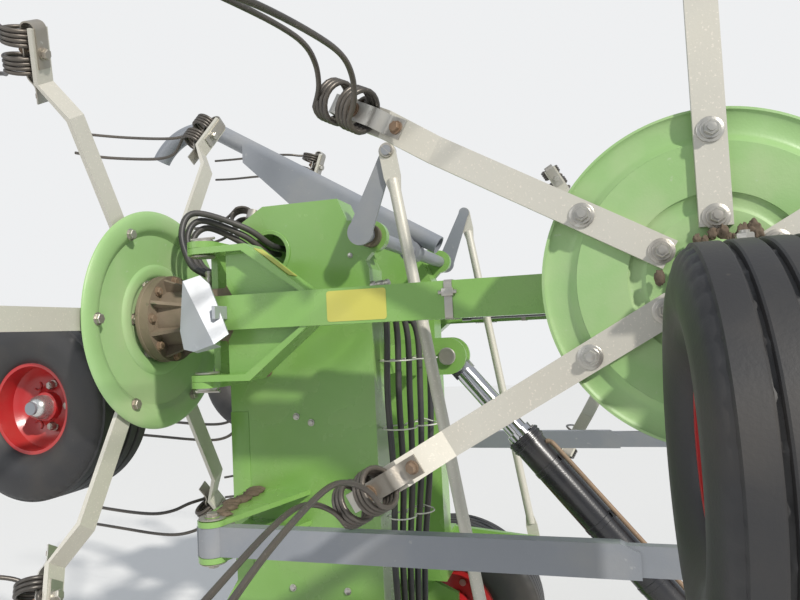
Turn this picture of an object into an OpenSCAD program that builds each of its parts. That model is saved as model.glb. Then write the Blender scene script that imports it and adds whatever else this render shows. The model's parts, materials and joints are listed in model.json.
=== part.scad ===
// Trailed hay tedder with four rotors, folded for the road.
// Millimetres. X points forward, Y to the left, Z up, and the ground is Z = 0.
// The origin is on the ground under the middle of the parked machine.

/* [Rotor row] */
// Distance between neighbouring rotor axes
rotor_pitch = 1120; // [1100:5:1150]
// Height of the rotor axes when the row stands up for the road
row_height = 1450; // [1430:5:1480]
// Distance from the wing hinge to the axis of the centre rotor beside it
hinge_out = 100; // [95:1:110]
// Distance from the underside of a rotor disc to the hinge and beam axis
hinge_rise = 200; // [195:1:210]

/* [Rotor disc] */
// Radius of the pressed disc
disc_r = 265; // [250:1:280]
// Thickness of the disc sheet
disc_t = 5; // [4:0.5:7]
// Height by which the rim band stands above the middle of the disc
rim_step = 14; // [8:1:18]
// Width of the rim band
rim_band = 44; // [34:1:50]
// Radius of the turning hub
hub_r = 56; // [52:1:60]
// Radius of the bore in the hub
hub_bore = 34; // [32:0.5:38]

/* [Tine arms] */
// Number of arms on a rotor
arm_count = 6; // [6:1:6]
// Width of the flat bar
arm_w = 48; // [42:1:56]
// Thickness of the flat bar
arm_t = 10; // [8:0.5:12]
// Radius where an arm starts
arm_in = 78; // [76:1:84]
// Radius where the arm starts to drop
arm_bend = 500; // [480:5:520]
// Height lost between the bend and the tilted end of the arm
arm_drop = 52; // [46:1:58]
// Upward tilt of the end of the arm in degrees
arm_tilt = 20; // [18:1:22]
// Length of the tilted end
arm_tip = 110; // [104:1:114]

/* [Tines] */
// Diameter of the spring wire
wire_d = 9.5; // [8:0.5:11]
// Mean radius of the spring coils
coil_r = 34; // [31:1:35]
// Turns in each coil
coil_turns = 4; // [3:1:4]
// Distance between the middles of the two coils of a tine
coil_pitch = 61; // [58:0.5:64]
// Height of the tine tips above the ground at work
tip_clear = 32; // [25:1:45]
// Outward lean of a tine over its length
tine_lean = 30; // [20:1:40]

/* [Rotor wheels] */
// Outer radius of the small tyres
tyre_r = 228; // [220:1:235]
// Width of the small tyres
tyre_w = 205; // [190:1:215]
// Radius of the small rims
rim_r = 113; // [105:1:120]
// Distance from the disc down to the wheel axle
axle_drop = 320; // [312:1:335]
// How far the wheel runs ahead of the rotor axis
wheel_lead = 205; // [190:1:220]
// Radius of the stub axles
stub_r = 16; // [14:0.5:19]

/* [Wing beams] */
// Height and depth of the square wing beam
beam_w = 74; // [70:1:80]
// Distance from the hinge axis to the inner end of the beam
beam_start = 28; // [26:1:34]
// Height of the hinge lugs above and below the beam axis
lug_z = 140; // [130:1:150]
// Thickness of the hinge lugs
lug_t = 14; // [12:1:16]
// Outer radius of the hinge lugs
lug_r = 34; // [30:1:36]
// Radius of the hinge pins
pin_r = 16; // [13:0.5:19]
// How far the guard bar lies below the beam
guard_drop = 495; // [480:5:510]
// Height of the guard bar
guard_h = 64; // [58:1:70]
// Thickness of the guard bar
guard_t = 30; // [26:1:34]
// Distance from the hinge to the bevelled end of the guard bar
guard_l = 889; // [870:1:900]
// Distance from the hinge to the strut of the guard bar
strut_y = 1020; // [1000:5:1025]

/* [Lift frame] */
// Outer face of each post, from the middle
post_y = 380; // [370:1:390]
// Width of each post across the machine
post_w = 100; // [90:1:110]
// Length of each post along the machine
post_l = 405; // [390:5:420]
// Distance from the wing hinge to the front of the posts
post_front = 295; // [285:1:305]
// Height of the posts above the rotor axes
post_top = 290; // [270:5:310]
// Distance from the wing hinges back to the lift pivot
pivot_back = 150; // [145:1:155]
// Radius of the lift pivot pins
pivot_r = 26; // [22:1:30]
// Height of the crank shaft above the rotor axes
crank_rise = 185; // [175:1:190]
// Distance from the wing hinges forward to the crank shaft
crank_x = 305; // [300:1:312]
// Radius of the crank shaft
crank_r = 20; // [17:0.5:22]
// Outer face of the cranks, from the middle
crank_y = 466; // [455:1:470]
// Radius of the stay rods
stay_r = 14; // [12:0.5:16]
// Radius of the rear pole
pole_r = 28; // [25:0.5:30]
// Straight length of the rear pole
pole_l = 840; // [820:5:860]
// Slope of the rear pole in degrees
pole_tilt = 31; // [30:0.5:33]
// Radius of the bend of the rear pole
pole_bend = 180; // [165:5:190]

/* [Chassis] */
// Distance from the wing hinges to the front of the hitch eye
hitch_reach = 3000; // [2900:10:3100]
// Distance from the wing hinges to the road axle
axle_x = 250; // [235:5:270]
// Half of the track of the road wheels
track_half = 600; // [595:1:615]
// Radius of the road tyres
road_r = 330; // [315:1:340]
// Width of the road tyres
road_w = 195; // [180:1:200]
// Radius of the road rims
road_rim = 165; // [155:1:175]
// Section of the chassis beams
rail_w = 110; // [100:1:116]
// Distance from the front of the hitch eye back to the jack
jack_back = 450; // [420:5:480]
// Radius of the hole in the hitch eye
eye_r = 25; // [20:0.5:27]
// Thickness of the hitch eye
eye_t = 44; // [40:1:50]
// Radius of the splined input shaft
input_r = 17.4; // [17:0.1:18]

/* [Hidden] */
// Rotor table: name, hand (1 left, -1 right), on a wing, turn of the arms in degrees
UNITS = [
    ["cr", -1, false, 30],
    ["cl", 1, false, 0],
    ["wr", -1, true, 0],
    ["wl", 1, true, 30]
];
SIDES = [["r", -1], ["l", 1]];
clear = 0.3;
side_gap = 0.6;
run = 6;
facets = 48;
reach_back = hinge_rise + axle_drop + tyre_r;
hinge_x = reach_back - (hitch_reach + reach_back) / 2;
hinge_y = rotor_pitch / 2 + hinge_out;
beam_reach = rotor_pitch - hinge_out;
pivot_x = hinge_x - pivot_back;
work_gap = 2;
pivot_z = reach_back - pivot_back + work_gap;
bar_z = road_r + rail_w;
bar_top = bar_z + rail_w / 2;
hub_low = -26;
hub_top = disc_t + 6;
box_low = hub_top + run;
tip_z = -(axle_drop + tyre_r - tip_clear);
wire_r = wire_d / 2;
coil_step = wire_d * 0.94;
coil_low = coil_r + wire_r;
arm_knee = [arm_bend + 80, -arm_drop];
arm_along = [cos(arm_tilt), sin(arm_tilt)];
arm_up = [-sin(arm_tilt), cos(arm_tilt)];
tine_at = 60;

// Gear block above each rotor
block_h = 120;
block_y = 130;
block_half = block_h / 2;

// Crank shaft, tip of the cranks and foot of the stay rods, as x and z
CRANK = [hinge_x + crank_x, row_height + crank_rise];
CRANK_TIP = CRANK + [80, 185];
STAY_FOOT = [hinge_x + 578, pivot_z + 20];
stay_t = 10;
stay_pin = 12;

// Rams: radius of barrel, length of barrel, radius of rod, radius of pins, width of eyes, radius of bore
LIFT_RAM = [46, 672, 30, 20, 44, 38];
FOLD_RAM = [26, 360, 14, 12, 24, 14];
ram_wall = 12;
ram_neck = 8;
sleeve_start = 74;
sleeve_l = 618;
lift_anchor = [hinge_x + 1041, bar_top + 65];
lift_eye = [hinge_x + 408, row_height - 137];
lift_lug_r = 54;
fold_anchor = [80, 700];
fold_eye = [120, 132];

// Open end of the rear pole and the turn of its bend
POLE_END = [hinge_x + 390, row_height + 197];
pole_turn = 90;
function pole_at(t) = POLE_END + t * [-cos(pole_tilt), sin(pole_tilt)];

// Shield over the wing hinge, as X and Y of the wing frame
SHIELD = [[-90, 100], [-66, 30], [-84, -18]];

// Parking jack
jack_drop = 100;
jack_r = 28;
jack_pin = 12;

// Hoses of the lift frame: radius, then points as X, Y to the side and Z
hose_r = 8;
hose_sides = 8;
hose_steps = 3;
hose_hole = [hinge_x + 20, row_height + 165];
hose_seat = post_y - 60;
post_nose = hinge_x + post_front;
HINGE_HOSES = [for (k = [0 : 2]) [
    [hose_hole[0] - 20 + 18 * k, hose_seat, hose_hole[1] - 12 + 14 * k],
    [hose_hole[0] - 20 + 18 * k, hose_seat + 80, hose_hole[1] - 10 + 14 * k],
    [hose_hole[0] - 48 + 10 * k, hose_seat + 125 + 8 * k, hose_hole[1] + 26 + 17 * k],
    [hose_hole[0] - 126 - 4 * k, hose_seat + 150 + 22 * k, hose_hole[1] + 66 + 16 * k],
    [hose_hole[0] - 154, hose_seat + 176 + 24 * k, hose_hole[1] + 32 + 6 * k],
    [hose_hole[0] - 122, hose_seat + 188 + 24 * k, hose_hole[1] - 36],
    [hose_hole[0] - 72, hose_seat + 190 + 24 * k, hose_hole[1] - 70],
    [hose_hole[0] - 70, hose_seat + 190 + 24 * k, row_height + block_half]
]];
POST_HOSES = [for (k = [0 : 4]) [
    [post_nose, post_y - 12 - 18 * k, row_height + 60 - 16 * k],
    [post_nose + 32 + 8 * k, post_y - 12 - 22 * k, row_height + 52 - 20 * k],
    [post_nose + 34 + 17 * k, post_y - 16 - 32 * k, row_height - 60],
    [post_nose + 30 + 19 * k, post_y - 10 - 34 * k, row_height - 220],
    [post_nose + 34 + 16 * k, post_y - 18 - 28 * k, row_height - 420],
    [post_nose + 28 + 13 * k, post_y - 14 - 24 * k, row_height - 620],
    [post_nose + 30 + 9 * k, post_y - 14 - 20 * k, pivot_z + 70 - 14 * k],
    [post_nose, post_y - 12 - 18 * k, pivot_z + 52 - 14 * k]
]];

// The right-hand side is the mirror of the left
module on_side(hand) {
    mirror([0, hand < 0 ? 1 : 0, 0]) children();
}

// Wing frame: X to the top side of the rotors, Y out along the beam, Z up on the road
module wing_place(hand) {
    on_side(hand)
        translate([hinge_x, hinge_y, row_height])
            rotate([0, 0, -90]) children();
}

// Rotor frame: Z up at work, X forward at work, origin under the disc's middle
module unit_place(u) {
    if (u[2])
        wing_place(u[1])
            translate([-hinge_rise, beam_reach, 0]) rotate([0, 90, 0]) children();
    else
        on_side(u[1])
            translate([hinge_x - hinge_rise, rotor_pitch / 2, row_height])
                rotate([0, 90, 0]) children();
}

// A bar of thickness t along a list of points, given as x and z
module plate_xz(points, t) {
    rotate([90, 0, 0]) linear_extrude(t, center = true) polygon(points);
}

module disc(u) {
    color("yellowgreen") unit_place(u) difference() {
        union() {
            rotate_extrude($fn = 96) polygon([
                [hub_bore, 0],
                [disc_r - rim_band - 12, 0],
                [disc_r - rim_band, rim_step],
                [disc_r - 6, rim_step],
                [disc_r - 6, rim_step - 6],
                [disc_r, rim_step - 6],
                [disc_r, rim_step + disc_t - 2],
                [disc_r - 4, rim_step + disc_t],
                [disc_r - rim_band - 3, rim_step + disc_t],
                [disc_r - rim_band - 15, disc_t],
                [hub_bore, disc_t]
            ]);
            translate([0, 0, hub_low]) cylinder(h = hub_top - hub_low, r = hub_r, $fn = facets);
        }
        translate([0, 0, hub_low - 1])
            cylinder(h = hub_top - hub_low + 2, r = hub_bore, $fn = facets);
    }
}

// The flat bars lie under the disc, drop behind their bend and turn up again at the end
module arms(u) {
    tip = arm_knee + arm_tip * arm_along;
    color("silver") unit_place(u)
        for (i = [0 : arm_count - 1]) rotate([0, 0, u[3] + i * 360 / arm_count])
            plate_xz([
                [arm_in, 0], [arm_bend, 0], arm_knee + arm_t * arm_up, tip + arm_t * arm_up,
                tip, arm_knee, [arm_bend - 4, -arm_t], [arm_in, -arm_t]
            ], arm_w);
}

// Frame on the underside of the tilted end: X outward along it
module arm_end_place() {
    translate([arm_knee[0], 0, arm_knee[1]]) rotate([0, -arm_tilt, 0]) children();
}

// Middle line of a tine leg, from the last turn of its coil to the tip
function leg_points(s) =
    let (along = tine_at + s * (coil_pitch / 2 + (coil_turns - 1) / 2 * coil_step),
        at = arm_knee + along * arm_along - coil_low * arm_up,
        c = [at[0], 0, at[1]])
    concat(
        [for (p = [[0, -24, -24], [0, 4, -52], [2, 30, -88], [5, 42, -140], [10, 36, -220], [18, 16, -340]]) c + p],
        [[c[0] + tine_lean, -8, tip_z]]
    );

// Two coils under the end of the arm, with their clamp between them and a leg from each far end
module tines(u) {
    hand = u[2] ? -1 : 1;
    color("dimgray") unit_place(u)
        for (i = [0 : arm_count - 1]) rotate([0, 0, u[3] + i * 360 / arm_count]) {
            for (s = [-1, 1]) arm_end_place() translate([tine_at + s * coil_pitch / 2, 0, -coil_low])
                rotate([0, 90, 0]) rotate_extrude($fn = facets)
                    for (t = [0 : coil_turns - 1])
                        translate([coil_r, (t - (coil_turns - 1) / 2) * coil_step])
                            circle(r = wire_r, $fn = 16);
            for (s = [-1, 1]) mirror([0, hand < 0 ? 1 : 0, 0])
                sweep(smooth(leg_points(s), 2), [[0, 0.7, -0.7], [0, 0, -1]], wire_r, 6);
            arm_end_place() translate([tine_at, 0, -wire_d / 2])
                cube([coil_pitch - (coil_turns - 1) * coil_step, arm_w, wire_d], center = true);
        }
}

module gearbox(u) {
    color("saddlebrown") unit_place(u) {
        translate([0, 0, box_low]) cylinder(h = 34, r = 104, $fn = facets);
        translate([0, 0, box_low + 34])
            cylinder(h = hinge_rise - block_half - box_low - 34, r = 70, $fn = facets);
        translate([0, 0, hinge_rise]) cube([block_h, block_y, block_h], center = true);
    }
}

// Column through the hub, head channel, side plate and stub axle of a rotor wheel
module wheel_arm(u) {
    side = u[2] ? 1 : -1;
    plate_y = tyre_w / 2 + 14;
    color("slategray") unit_place(u) mirror([0, side > 0 ? 0 : 1, 0]) {
        translate([0, 0, -72]) cylinder(h = 72 + box_low, r = 25, $fn = facets);
        translate([0, 0, -18]) cylinder(h = 24, r = hub_bore - clear, $fn = facets);
        translate([-40, -plate_y - 12, -84]) cube([100, plate_y + 52, 12]);
        translate([0, -plate_y - 6, 0]) plate_xz([
            [-40, -72], [60, -72], [wheel_lead + 42, -axle_drop + 20],
            [wheel_lead + 42, -axle_drop - 30], [wheel_lead - 42, -axle_drop - 30],
            [-40, -150]
        ], 12);
        translate([wheel_lead, plate_y - 20, -axle_drop])
            rotate([90, 0, 0]) cylinder(h = 2 * plate_y - 20, r = stub_r, $fn = facets);
    }
}

module wheel_at(u) {
    unit_place(u) mirror([0, u[2] ? 0 : 1, 0])
        translate([wheel_lead, 0, -axle_drop]) rotate([90, 0, 0]) children();
}

// Tyre section, revolved about the axle
module tyre_shape(r, w, rim) {
    shoulder = r * 0.1;
    rotate_extrude($fn = 72) difference() {
        polygon([
            [rim, -w * 0.36], [rim + (r - rim) * 0.35, -w * 0.48], [rim + (r - rim) * 0.65, -w * 0.5],
            [r - shoulder, -w * 0.46], [r - shoulder * 0.35, -w * 0.36], [r, -w * 0.12],
            [r, w * 0.12], [r - shoulder * 0.35, w * 0.36], [r - shoulder, w * 0.46],
            [rim + (r - rim) * 0.65, w * 0.5], [rim + (r - rim) * 0.35, w * 0.48], [rim, w * 0.36]
        ]);
        for (k = [-1.5 : 1 : 1.5]) translate([r - 4, k * w * 0.17]) square([12, 6], center = true);
    }
}

module tyre(u) {
    color("dimgray") wheel_at(u) tyre_shape(tyre_r, tyre_w, rim_r);
}

// Dished rim with its hub; the cap faces +Z here
module rim_shape(r, w, bore, hub, deep) {
    t = 5;
    rotate_extrude($fn = 72) polygon([
        [bore, -w * 0.34], [hub, -w * 0.34], [hub, deep - t], [r - 22, deep - t],
        [r - 22, -w * 0.36], [r, -w * 0.36], [r, w * 0.36], [r - t, w * 0.36],
        [r - 18, deep + 12], [r - 30, deep], [hub, deep], [hub, w * 0.2], [bore, w * 0.2]
    ]);
}

module rim(u) {
    color("firebrick") wheel_at(u) mirror([0, 0, 1])
        rim_shape(rim_r, tyre_w, stub_r + clear, 34, 10);
}

// A ram lies along +X from the pin of its base, with its pins along Z
module ram_barrel(ram) {
    eye = ram[3] + ram_wall;
    difference() {
        union() {
            cylinder(h = ram[4], r = eye, center = true, $fn = facets);
            translate([0, -eye, -ram[4] / 2]) cube([eye + ram_neck + 2, 2 * eye, ram[4]]);
            translate([eye + ram_neck, 0, 0]) rotate([0, 90, 0])
                cylinder(h = ram[1] - eye - ram_neck, r = ram[0], $fn = facets);
            translate([ram[1] - 34, 0, 0]) rotate([0, 90, 0])
                cylinder(h = 34, r = ram[0] + 3, $fn = facets);
        }
        cylinder(h = ram[4] + 2, r = ram[3] + clear, center = true, $fn = facets);
        translate([eye + 30, 0, 0]) rotate([0, 90, 0])
            cylinder(h = ram[1], r = ram[5] + clear, $fn = facets);
    }
}

module ram_rod(ram, start, reach) {
    eye = ram[3] + ram_wall;
    neck = eye * 2;
    difference() {
        union() {
            translate([start, 0, 0]) rotate([0, 90, 0])
                cylinder(h = reach - start - neck, r = ram[2], $fn = facets);
            translate([reach - neck - 6, -ram[2], -ram[4] / 2]) cube([neck + 6, 2 * ram[2], ram[4]]);
            translate([reach, 0, 0]) cylinder(h = ram[4], r = eye, center = true, $fn = facets);
        }
        translate([reach, 0, 0]) cylinder(h = ram[4] + 2, r = ram[3] + clear, center = true, $fn = facets);
    }
}

// Two plates either side of a ram's eye, from a seat to a round end about the pin
module ram_lugs(ram, seat, t, pin, eye) {
    low = ram[4] / 2 + side_gap;
    for (s = [0, 1]) mirror([0, 0, s]) translate([0, 0, low]) {
        cylinder(h = t, r = eye, $fn = facets);
        linear_extrude(t) polygon([[-seat, -eye], [0, -eye], [0, eye], [-seat, eye]]);
        translate([0, 0, t - 1]) cylinder(h = 8, r = ram[3] + 3, $fn = facets);
    }
    if (pin) cylinder(h = 2 * low + 2, r = ram[3], center = true, $fn = facets);
}

module fold_place(hand, a, b) {
    wing_place(hand) translate([a[0], a[1], 0])
        rotate([0, 0, atan2(b[1] - a[1], b[0] - a[0])]) children();
}

module lift_place(a, b) {
    translate([a[0], 0, a[1]]) rotate([90, 0, 0])
        rotate([0, 0, atan2(b[1] - a[1], b[0] - a[0])]) children();
}

// Hinge lug with its web and sloping flange, above the beam
module beam_lug() {
    low = lug_z - lug_t / 2;
    root = beam_w / 2;
    translate([0, 0, low]) cylinder(h = lug_t, r = lug_r, $fn = facets);
    translate([0, 0, low]) linear_extrude(lug_t)
        polygon([[-lug_r, 0], [lug_r, 0], [lug_r, 124], [-lug_r, 124]]);
    rotate([90, 0, 90]) linear_extrude(12, center = true)
        polygon([[60, low + 2], [120, low + 2], [250, root - 1], [75, root - 1], [60, root + 24]]);
    rotate([90, 0, 90]) linear_extrude(2 * lug_r, center = true)
        polygon([[112, low + lug_t], [124, low + lug_t], [264, root - 1], [248, root - 1], [112, low + 1]]);
}

module beam(hand) {
    color("green") wing_place(hand) {
        difference() {
            union() {
                linear_extrude(beam_w, center = true) polygon([
                    [-beam_w / 2, beam_start], [beam_w / 2 - 13, beam_start], [beam_w / 2 - 13, 72],
                    [beam_w / 2, 85], [beam_w / 2, beam_reach - block_y / 2],
                    [-beam_w / 2, beam_reach - block_y / 2]
                ]);
                for (s = [0, 1]) mirror([0, 0, s]) beam_lug();
            }
            for (s = [-1, 1]) translate([0, 0, s * lug_z - lug_t])
                cylinder(h = 2 * lug_t, r = pin_r + clear, $fn = facets);
        }
        translate([fold_anchor[0], fold_anchor[1], 0])
            ram_lugs(FOLD_RAM, fold_anchor[0] - beam_w / 2, 10, true, FOLD_RAM[3] + ram_wall + 2);
    }
}

// Bar with a bevelled end, a thinner bar that runs on behind it, and the strut to the gear block
module guard_bar(hand) {
    thin = guard_h - 8;
    color("gray") wing_place(hand) difference() {
        union() {
            rotate([90, 0, 90]) linear_extrude(guard_t, center = true) polygon([
                [-30, -guard_drop - guard_h / 2], [guard_l, -guard_drop - guard_h / 2],
                [guard_l, -guard_drop + guard_h / 4], [guard_l - 34, -guard_drop + guard_h / 2],
                [-30, -guard_drop + guard_h / 2]
            ]);
            translate([0, 0, -guard_drop]) cylinder(h = guard_h, r = 30, center = true, $fn = facets);
            translate([-guard_t / 3, guard_l - 120, -guard_drop - thin / 2])
                cube([guard_t * 2 / 3, strut_y + 30 - guard_l + 120, thin]);
            translate([-guard_t / 3, strut_y - 25, -guard_drop])
                cube([guard_t * 2 / 3, 50, guard_drop - block_half]);
        }
        translate([0, 0, -guard_drop - guard_h]) cylinder(h = 2 * guard_h, r = pin_r + clear, $fn = facets);
    }
}

module fold_barrel(hand) {
    color("black") fold_place(hand, fold_anchor, fold_eye) ram_barrel(FOLD_RAM);
}

module fold_rod(hand) {
    color("lightgray") fold_place(hand, fold_anchor, fold_eye)
        ram_rod(FOLD_RAM, 60, norm(fold_eye - fold_anchor));
}

// Side shape of a post, with its foot about the lift pivot
module post_shape() {
    back = hinge_x + post_front - post_l;
    front = hinge_x + post_front;
    top = row_height + post_top;
    foot = pivot_r + 36;
    polygon([
        [back, top - 225], [back + 24, top - 212], [back + 46, top - 40], [back + 113, top],
        [front - 79, top], [front, top - 185],
        [front, pivot_z - foot], [pivot_x, pivot_z - foot], [pivot_x - foot, pivot_z],
        [back, pivot_z + 160]
    ]);
    translate([pivot_x, pivot_z]) circle(r = foot, $fn = facets);
}

// Plates above and below the inner end of the guard bar, with its pin
module guard_lugs() {
    half = guard_h / 2 + side_gap;
    for (s = [0, 1]) translate([0, 0, row_height - guard_drop]) mirror([0, 0, s])
        translate([0, 0, half]) linear_extrude(12) {
            polygon([
                [hinge_x - 70, post_y - 5], [hinge_x + 110, post_y - 5],
                [hinge_x + 32, hinge_y], [hinge_x - 32, hinge_y]
            ]);
            translate([hinge_x, hinge_y]) circle(r = 32, $fn = facets);
        }
    translate([hinge_x, hinge_y, row_height - guard_drop])
        cylinder(h = 2 * half + 36, r = pin_r, center = true, $fn = facets);
}

module posts() {
    hole = beam_w + 2 * clear;
    front = hinge_x + post_front;
    color("green") for (side = SIDES) on_side(side[1]) {
        difference() {
            union() {
                translate([0, post_y, 0]) rotate([90, 0, 0]) linear_extrude(post_w) post_shape();
                translate([0, post_y, 0]) rotate([90, 0, 0]) linear_extrude(24) {
                    polygon([
                        [front - 90, CRANK[1] + 50], [front - 10, CRANK[1] - 60],
                        [CRANK[0], CRANK[1] - 40], [CRANK[0], CRANK[1] + 40]
                    ]);
                    translate(CRANK) circle(r = 40, $fn = facets);
                }
                translate([front - 80, post_y - 5, STAY_FOOT[1] - 60])
                    cube([80, crank_y - post_y + 5, 120]);
                translate([0, crank_y, 0]) rotate([90, 0, 0]) linear_extrude(20) {
                    polygon([
                        [front - 40, STAY_FOOT[1] - 60], [STAY_FOOT[0], STAY_FOOT[1] - 28],
                        [STAY_FOOT[0], STAY_FOOT[1] + 28], [front - 40, STAY_FOOT[1] + 60]
                    ]);
                    translate(STAY_FOOT) circle(r = 28, $fn = facets);
                }
                translate([STAY_FOOT[0], crank_y - 2, STAY_FOOT[1]]) rotate([-90, 0, 0])
                    cylinder(h = 20, r = stay_pin, $fn = facets);
                guard_lugs();
            }
            translate([pivot_x, 0, pivot_z]) rotate([-90, 0, 0])
                cylinder(h = post_y * 2, r = pivot_r + clear, $fn = facets);
            translate([CRANK[0], 0, CRANK[1]]) rotate([-90, 0, 0])
                cylinder(h = post_y * 2, r = crank_r + clear, $fn = facets);
            translate([hinge_x - hole / 2, 0, row_height - hole / 2]) cube([hole, post_y * 2, hole]);
            translate([hose_hole[0], hose_seat, hose_hole[1]]) rotate([-90, 0, 0])
                cylinder(h = 80, r = 50, $fn = facets);
        }
    }
}

// Tube between the gear blocks, and the lower tube that carries the lugs of the lift ram
module cross_tubes() {
    tube = 80;
    tube_x = hinge_x + 225;
    between = rotor_pitch - block_y;
    color("green") {
        translate([hinge_x, 0, row_height]) cube([beam_w, between, beam_w], center = true);
        translate([tube_x, 0, lift_eye[1]])
            cube([tube, 2 * (post_y - post_w), tube], center = true);
        translate([lift_eye[0], 0, lift_eye[1]]) rotate([90, 0, 0])
            ram_lugs(LIFT_RAM, lift_eye[0] - tube_x - tube / 2, 12, false, lift_lug_r);
    }
}

// Plates and pins of the wing hinges on top of and under the gear blocks, and the fold rams' lugs
module hinge_brackets() {
    low = lug_z + lug_t / 2 + side_gap;
    root = hinge_out - block_y / 2;
    color("green") for (side = SIDES) wing_place(side[1]) {
        for (s = [0, 1]) mirror([0, 0, s]) {
            translate([0, 0, low]) linear_extrude(lug_t) {
                circle(r = lug_r, $fn = facets);
                polygon([[0, -lug_r], [root + 96, -lug_r], [root + 96, lug_r], [0, lug_r]]);
            }
            translate([0, 0, low - lug_t - 6]) cylinder(h = 2 * lug_t + 10, r = pin_r, $fn = facets);
            translate([lug_r + 10, -8, block_half])
                cube([root + 96 - lug_r - 10, 16, low - block_half + 1]);
        }
        translate([fold_eye[0], fold_eye[1], 0]) rotate([0, 0, 90])
            ram_lugs(FOLD_RAM, fold_eye[1] - block_half, 10, false, FOLD_RAM[3] + ram_wall + 2);
    }
}

module crank_shaft() {
    color("gray") translate([0, crank_y, 0]) rotate([90, 0, 0]) {
        translate(CRANK) cylinder(h = 2 * crank_y, r = crank_r, $fn = facets);
        for (z = [0, 2 * crank_y - 8]) translate([0, 0, z]) linear_extrude(8) {
            v = CRANK_TIP - CRANK;
            n = [-v[1], v[0]] / norm(v);
            polygon([CRANK - 30 * n, CRANK + 30 * n, CRANK_TIP + 17 * n, CRANK_TIP - 17 * n]);
            translate(CRANK) circle(r = 32, $fn = facets);
            translate(CRANK_TIP) circle(r = 19, $fn = facets);
        }
        translate([CRANK_TIP[0], CRANK_TIP[1], -18])
            cylinder(h = 22, r = stay_pin, $fn = facets);
        translate([CRANK_TIP[0], CRANK_TIP[1], 2 * crank_y - 4])
            cylinder(h = 22, r = stay_pin, $fn = facets);
    }
}

// Rods with flattened ends between the cranks and the feet of the posts
module stay_rods() {
    v = CRANK_TIP - STAY_FOOT;
    len = norm(v);
    color("silver") for (side = SIDES) on_side(side[1])
        translate([STAY_FOOT[0], crank_y + side_gap + stay_t, STAY_FOOT[1]]) rotate([90, 0, 0])
            rotate([0, 0, atan2(v[1], v[0])]) difference() {
                union() {
                    translate([70, 0, stay_t / 2]) rotate([0, 90, 0])
                        cylinder(h = len - 140, r = stay_r, $fn = facets);
                    for (x = [0, len]) translate([x, 0, 0]) cylinder(h = stay_t, r = 20, $fn = facets);
                    linear_extrude(stay_t) for (s = [0, 1]) translate([s * len, 0]) mirror([s, 0])
                        polygon([[0, -20], [64, -20], [100, -stay_r + 1], [100, stay_r - 1], [64, 20], [0, 20]]);
                }
                for (x = [0, len]) translate([x, 0, -1])
                    cylinder(h = stay_t + 2, r = stay_pin + clear, $fn = facets);
            }
}

// Bent tube over the row, with a gusset and a hub on the crank shaft
module rear_pole() {
    bend = pole_at(pole_l) + pole_bend * [-sin(pole_tilt), -cos(pole_tilt)];
    color("gray") difference() {
        union() {
            translate([POLE_END[0], 0, POLE_END[1]]) rotate([0, -90 + pole_tilt, 0])
                cylinder(h = pole_l, r = pole_r, $fn = facets);
            translate([bend[0], 0, bend[1]]) rotate([90, 0, 0]) rotate([0, 0, 90 - pole_tilt])
                rotate_extrude(angle = pole_turn, $fn = facets) translate([pole_bend, 0])
                    circle(r = pole_r, $fn = facets);
            translate([0, -pole_r + 6, 0]) rotate([90, 0, 0]) linear_extrude(8)
                polygon([
                    pole_at(743), pole_at(743) - [0, 60], [hinge_x - 79, row_height + 360],
                    CRANK - [30, 10], CRANK + [25, 10], pole_at(110)
                ]);
            translate([CRANK[0], 30, CRANK[1]]) rotate([90, 0, 0])
                cylinder(h = 60, r = crank_r + 12, $fn = facets);
        }
        translate([CRANK[0], 40, CRANK[1]]) rotate([90, 0, 0])
            cylinder(h = 80, r = crank_r + clear, $fn = facets);
        translate([POLE_END[0], 0, POLE_END[1]]) rotate([0, -90 + pole_tilt, 0])
            translate([0, 0, -1]) cylinder(h = 120, r = pole_r - 4, $fn = facets);
    }
}

// Folded sheet over the outer side of the wing hinge, on a tab of the beam
module joint_shield(hand) {
    color("silver") wing_place(hand) {
        intersection() {
            translate([0, 0, -95]) linear_extrude(190)
                polygon(concat(SHIELD, [for (i = [2 : -1 : 0]) SHIELD[i] - [4, 0]]));
            rotate([90, 0, 90]) linear_extrude(400, center = true)
                polygon([[100, 30], [36, 88], [-18, 20], [0, -70], [72, -84]]);
        }
        translate([-88, 90, -14]) cube([88 - beam_w / 2, 8, 28]);
    }
}

module lift_barrel() {
    color("black") lift_place(lift_anchor, lift_eye) ram_barrel(LIFT_RAM);
}

// Middle stage of the lift ram
module lift_sleeve() {
    color("lightgray") lift_place(lift_anchor, lift_eye) translate([sleeve_start, 0, 0]) rotate([0, 90, 0])
        difference() {
            cylinder(h = sleeve_l, r = LIFT_RAM[5], $fn = facets);
            translate([0, 0, 12]) cylinder(h = sleeve_l, r = LIFT_RAM[2] + clear, $fn = facets);
        }
}

module lift_rod() {
    color("lightgray") lift_place(lift_anchor, lift_eye)
        ram_rod(LIFT_RAM, sleeve_start + 20, norm(lift_eye - lift_anchor));
}

function spline(a, b, c, d, t) = 0.5 * (2 * b + (c - a) * t + (2 * a - 5 * b + 4 * c - d) * t * t
    + (3 * b - a - 3 * c + d) * t * t * t);
function smooth(p, steps) = let (n = len(p)) concat(
    [for (i = [0 : n - 2]) for (k = [0 : steps - 1])
        spline(p[max(i - 1, 0)], p[i], p[i + 1], p[min(i + 2, n - 1)], k / steps)],
    [p[n - 1]]);
function unit(v) = v / norm(v);

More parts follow.
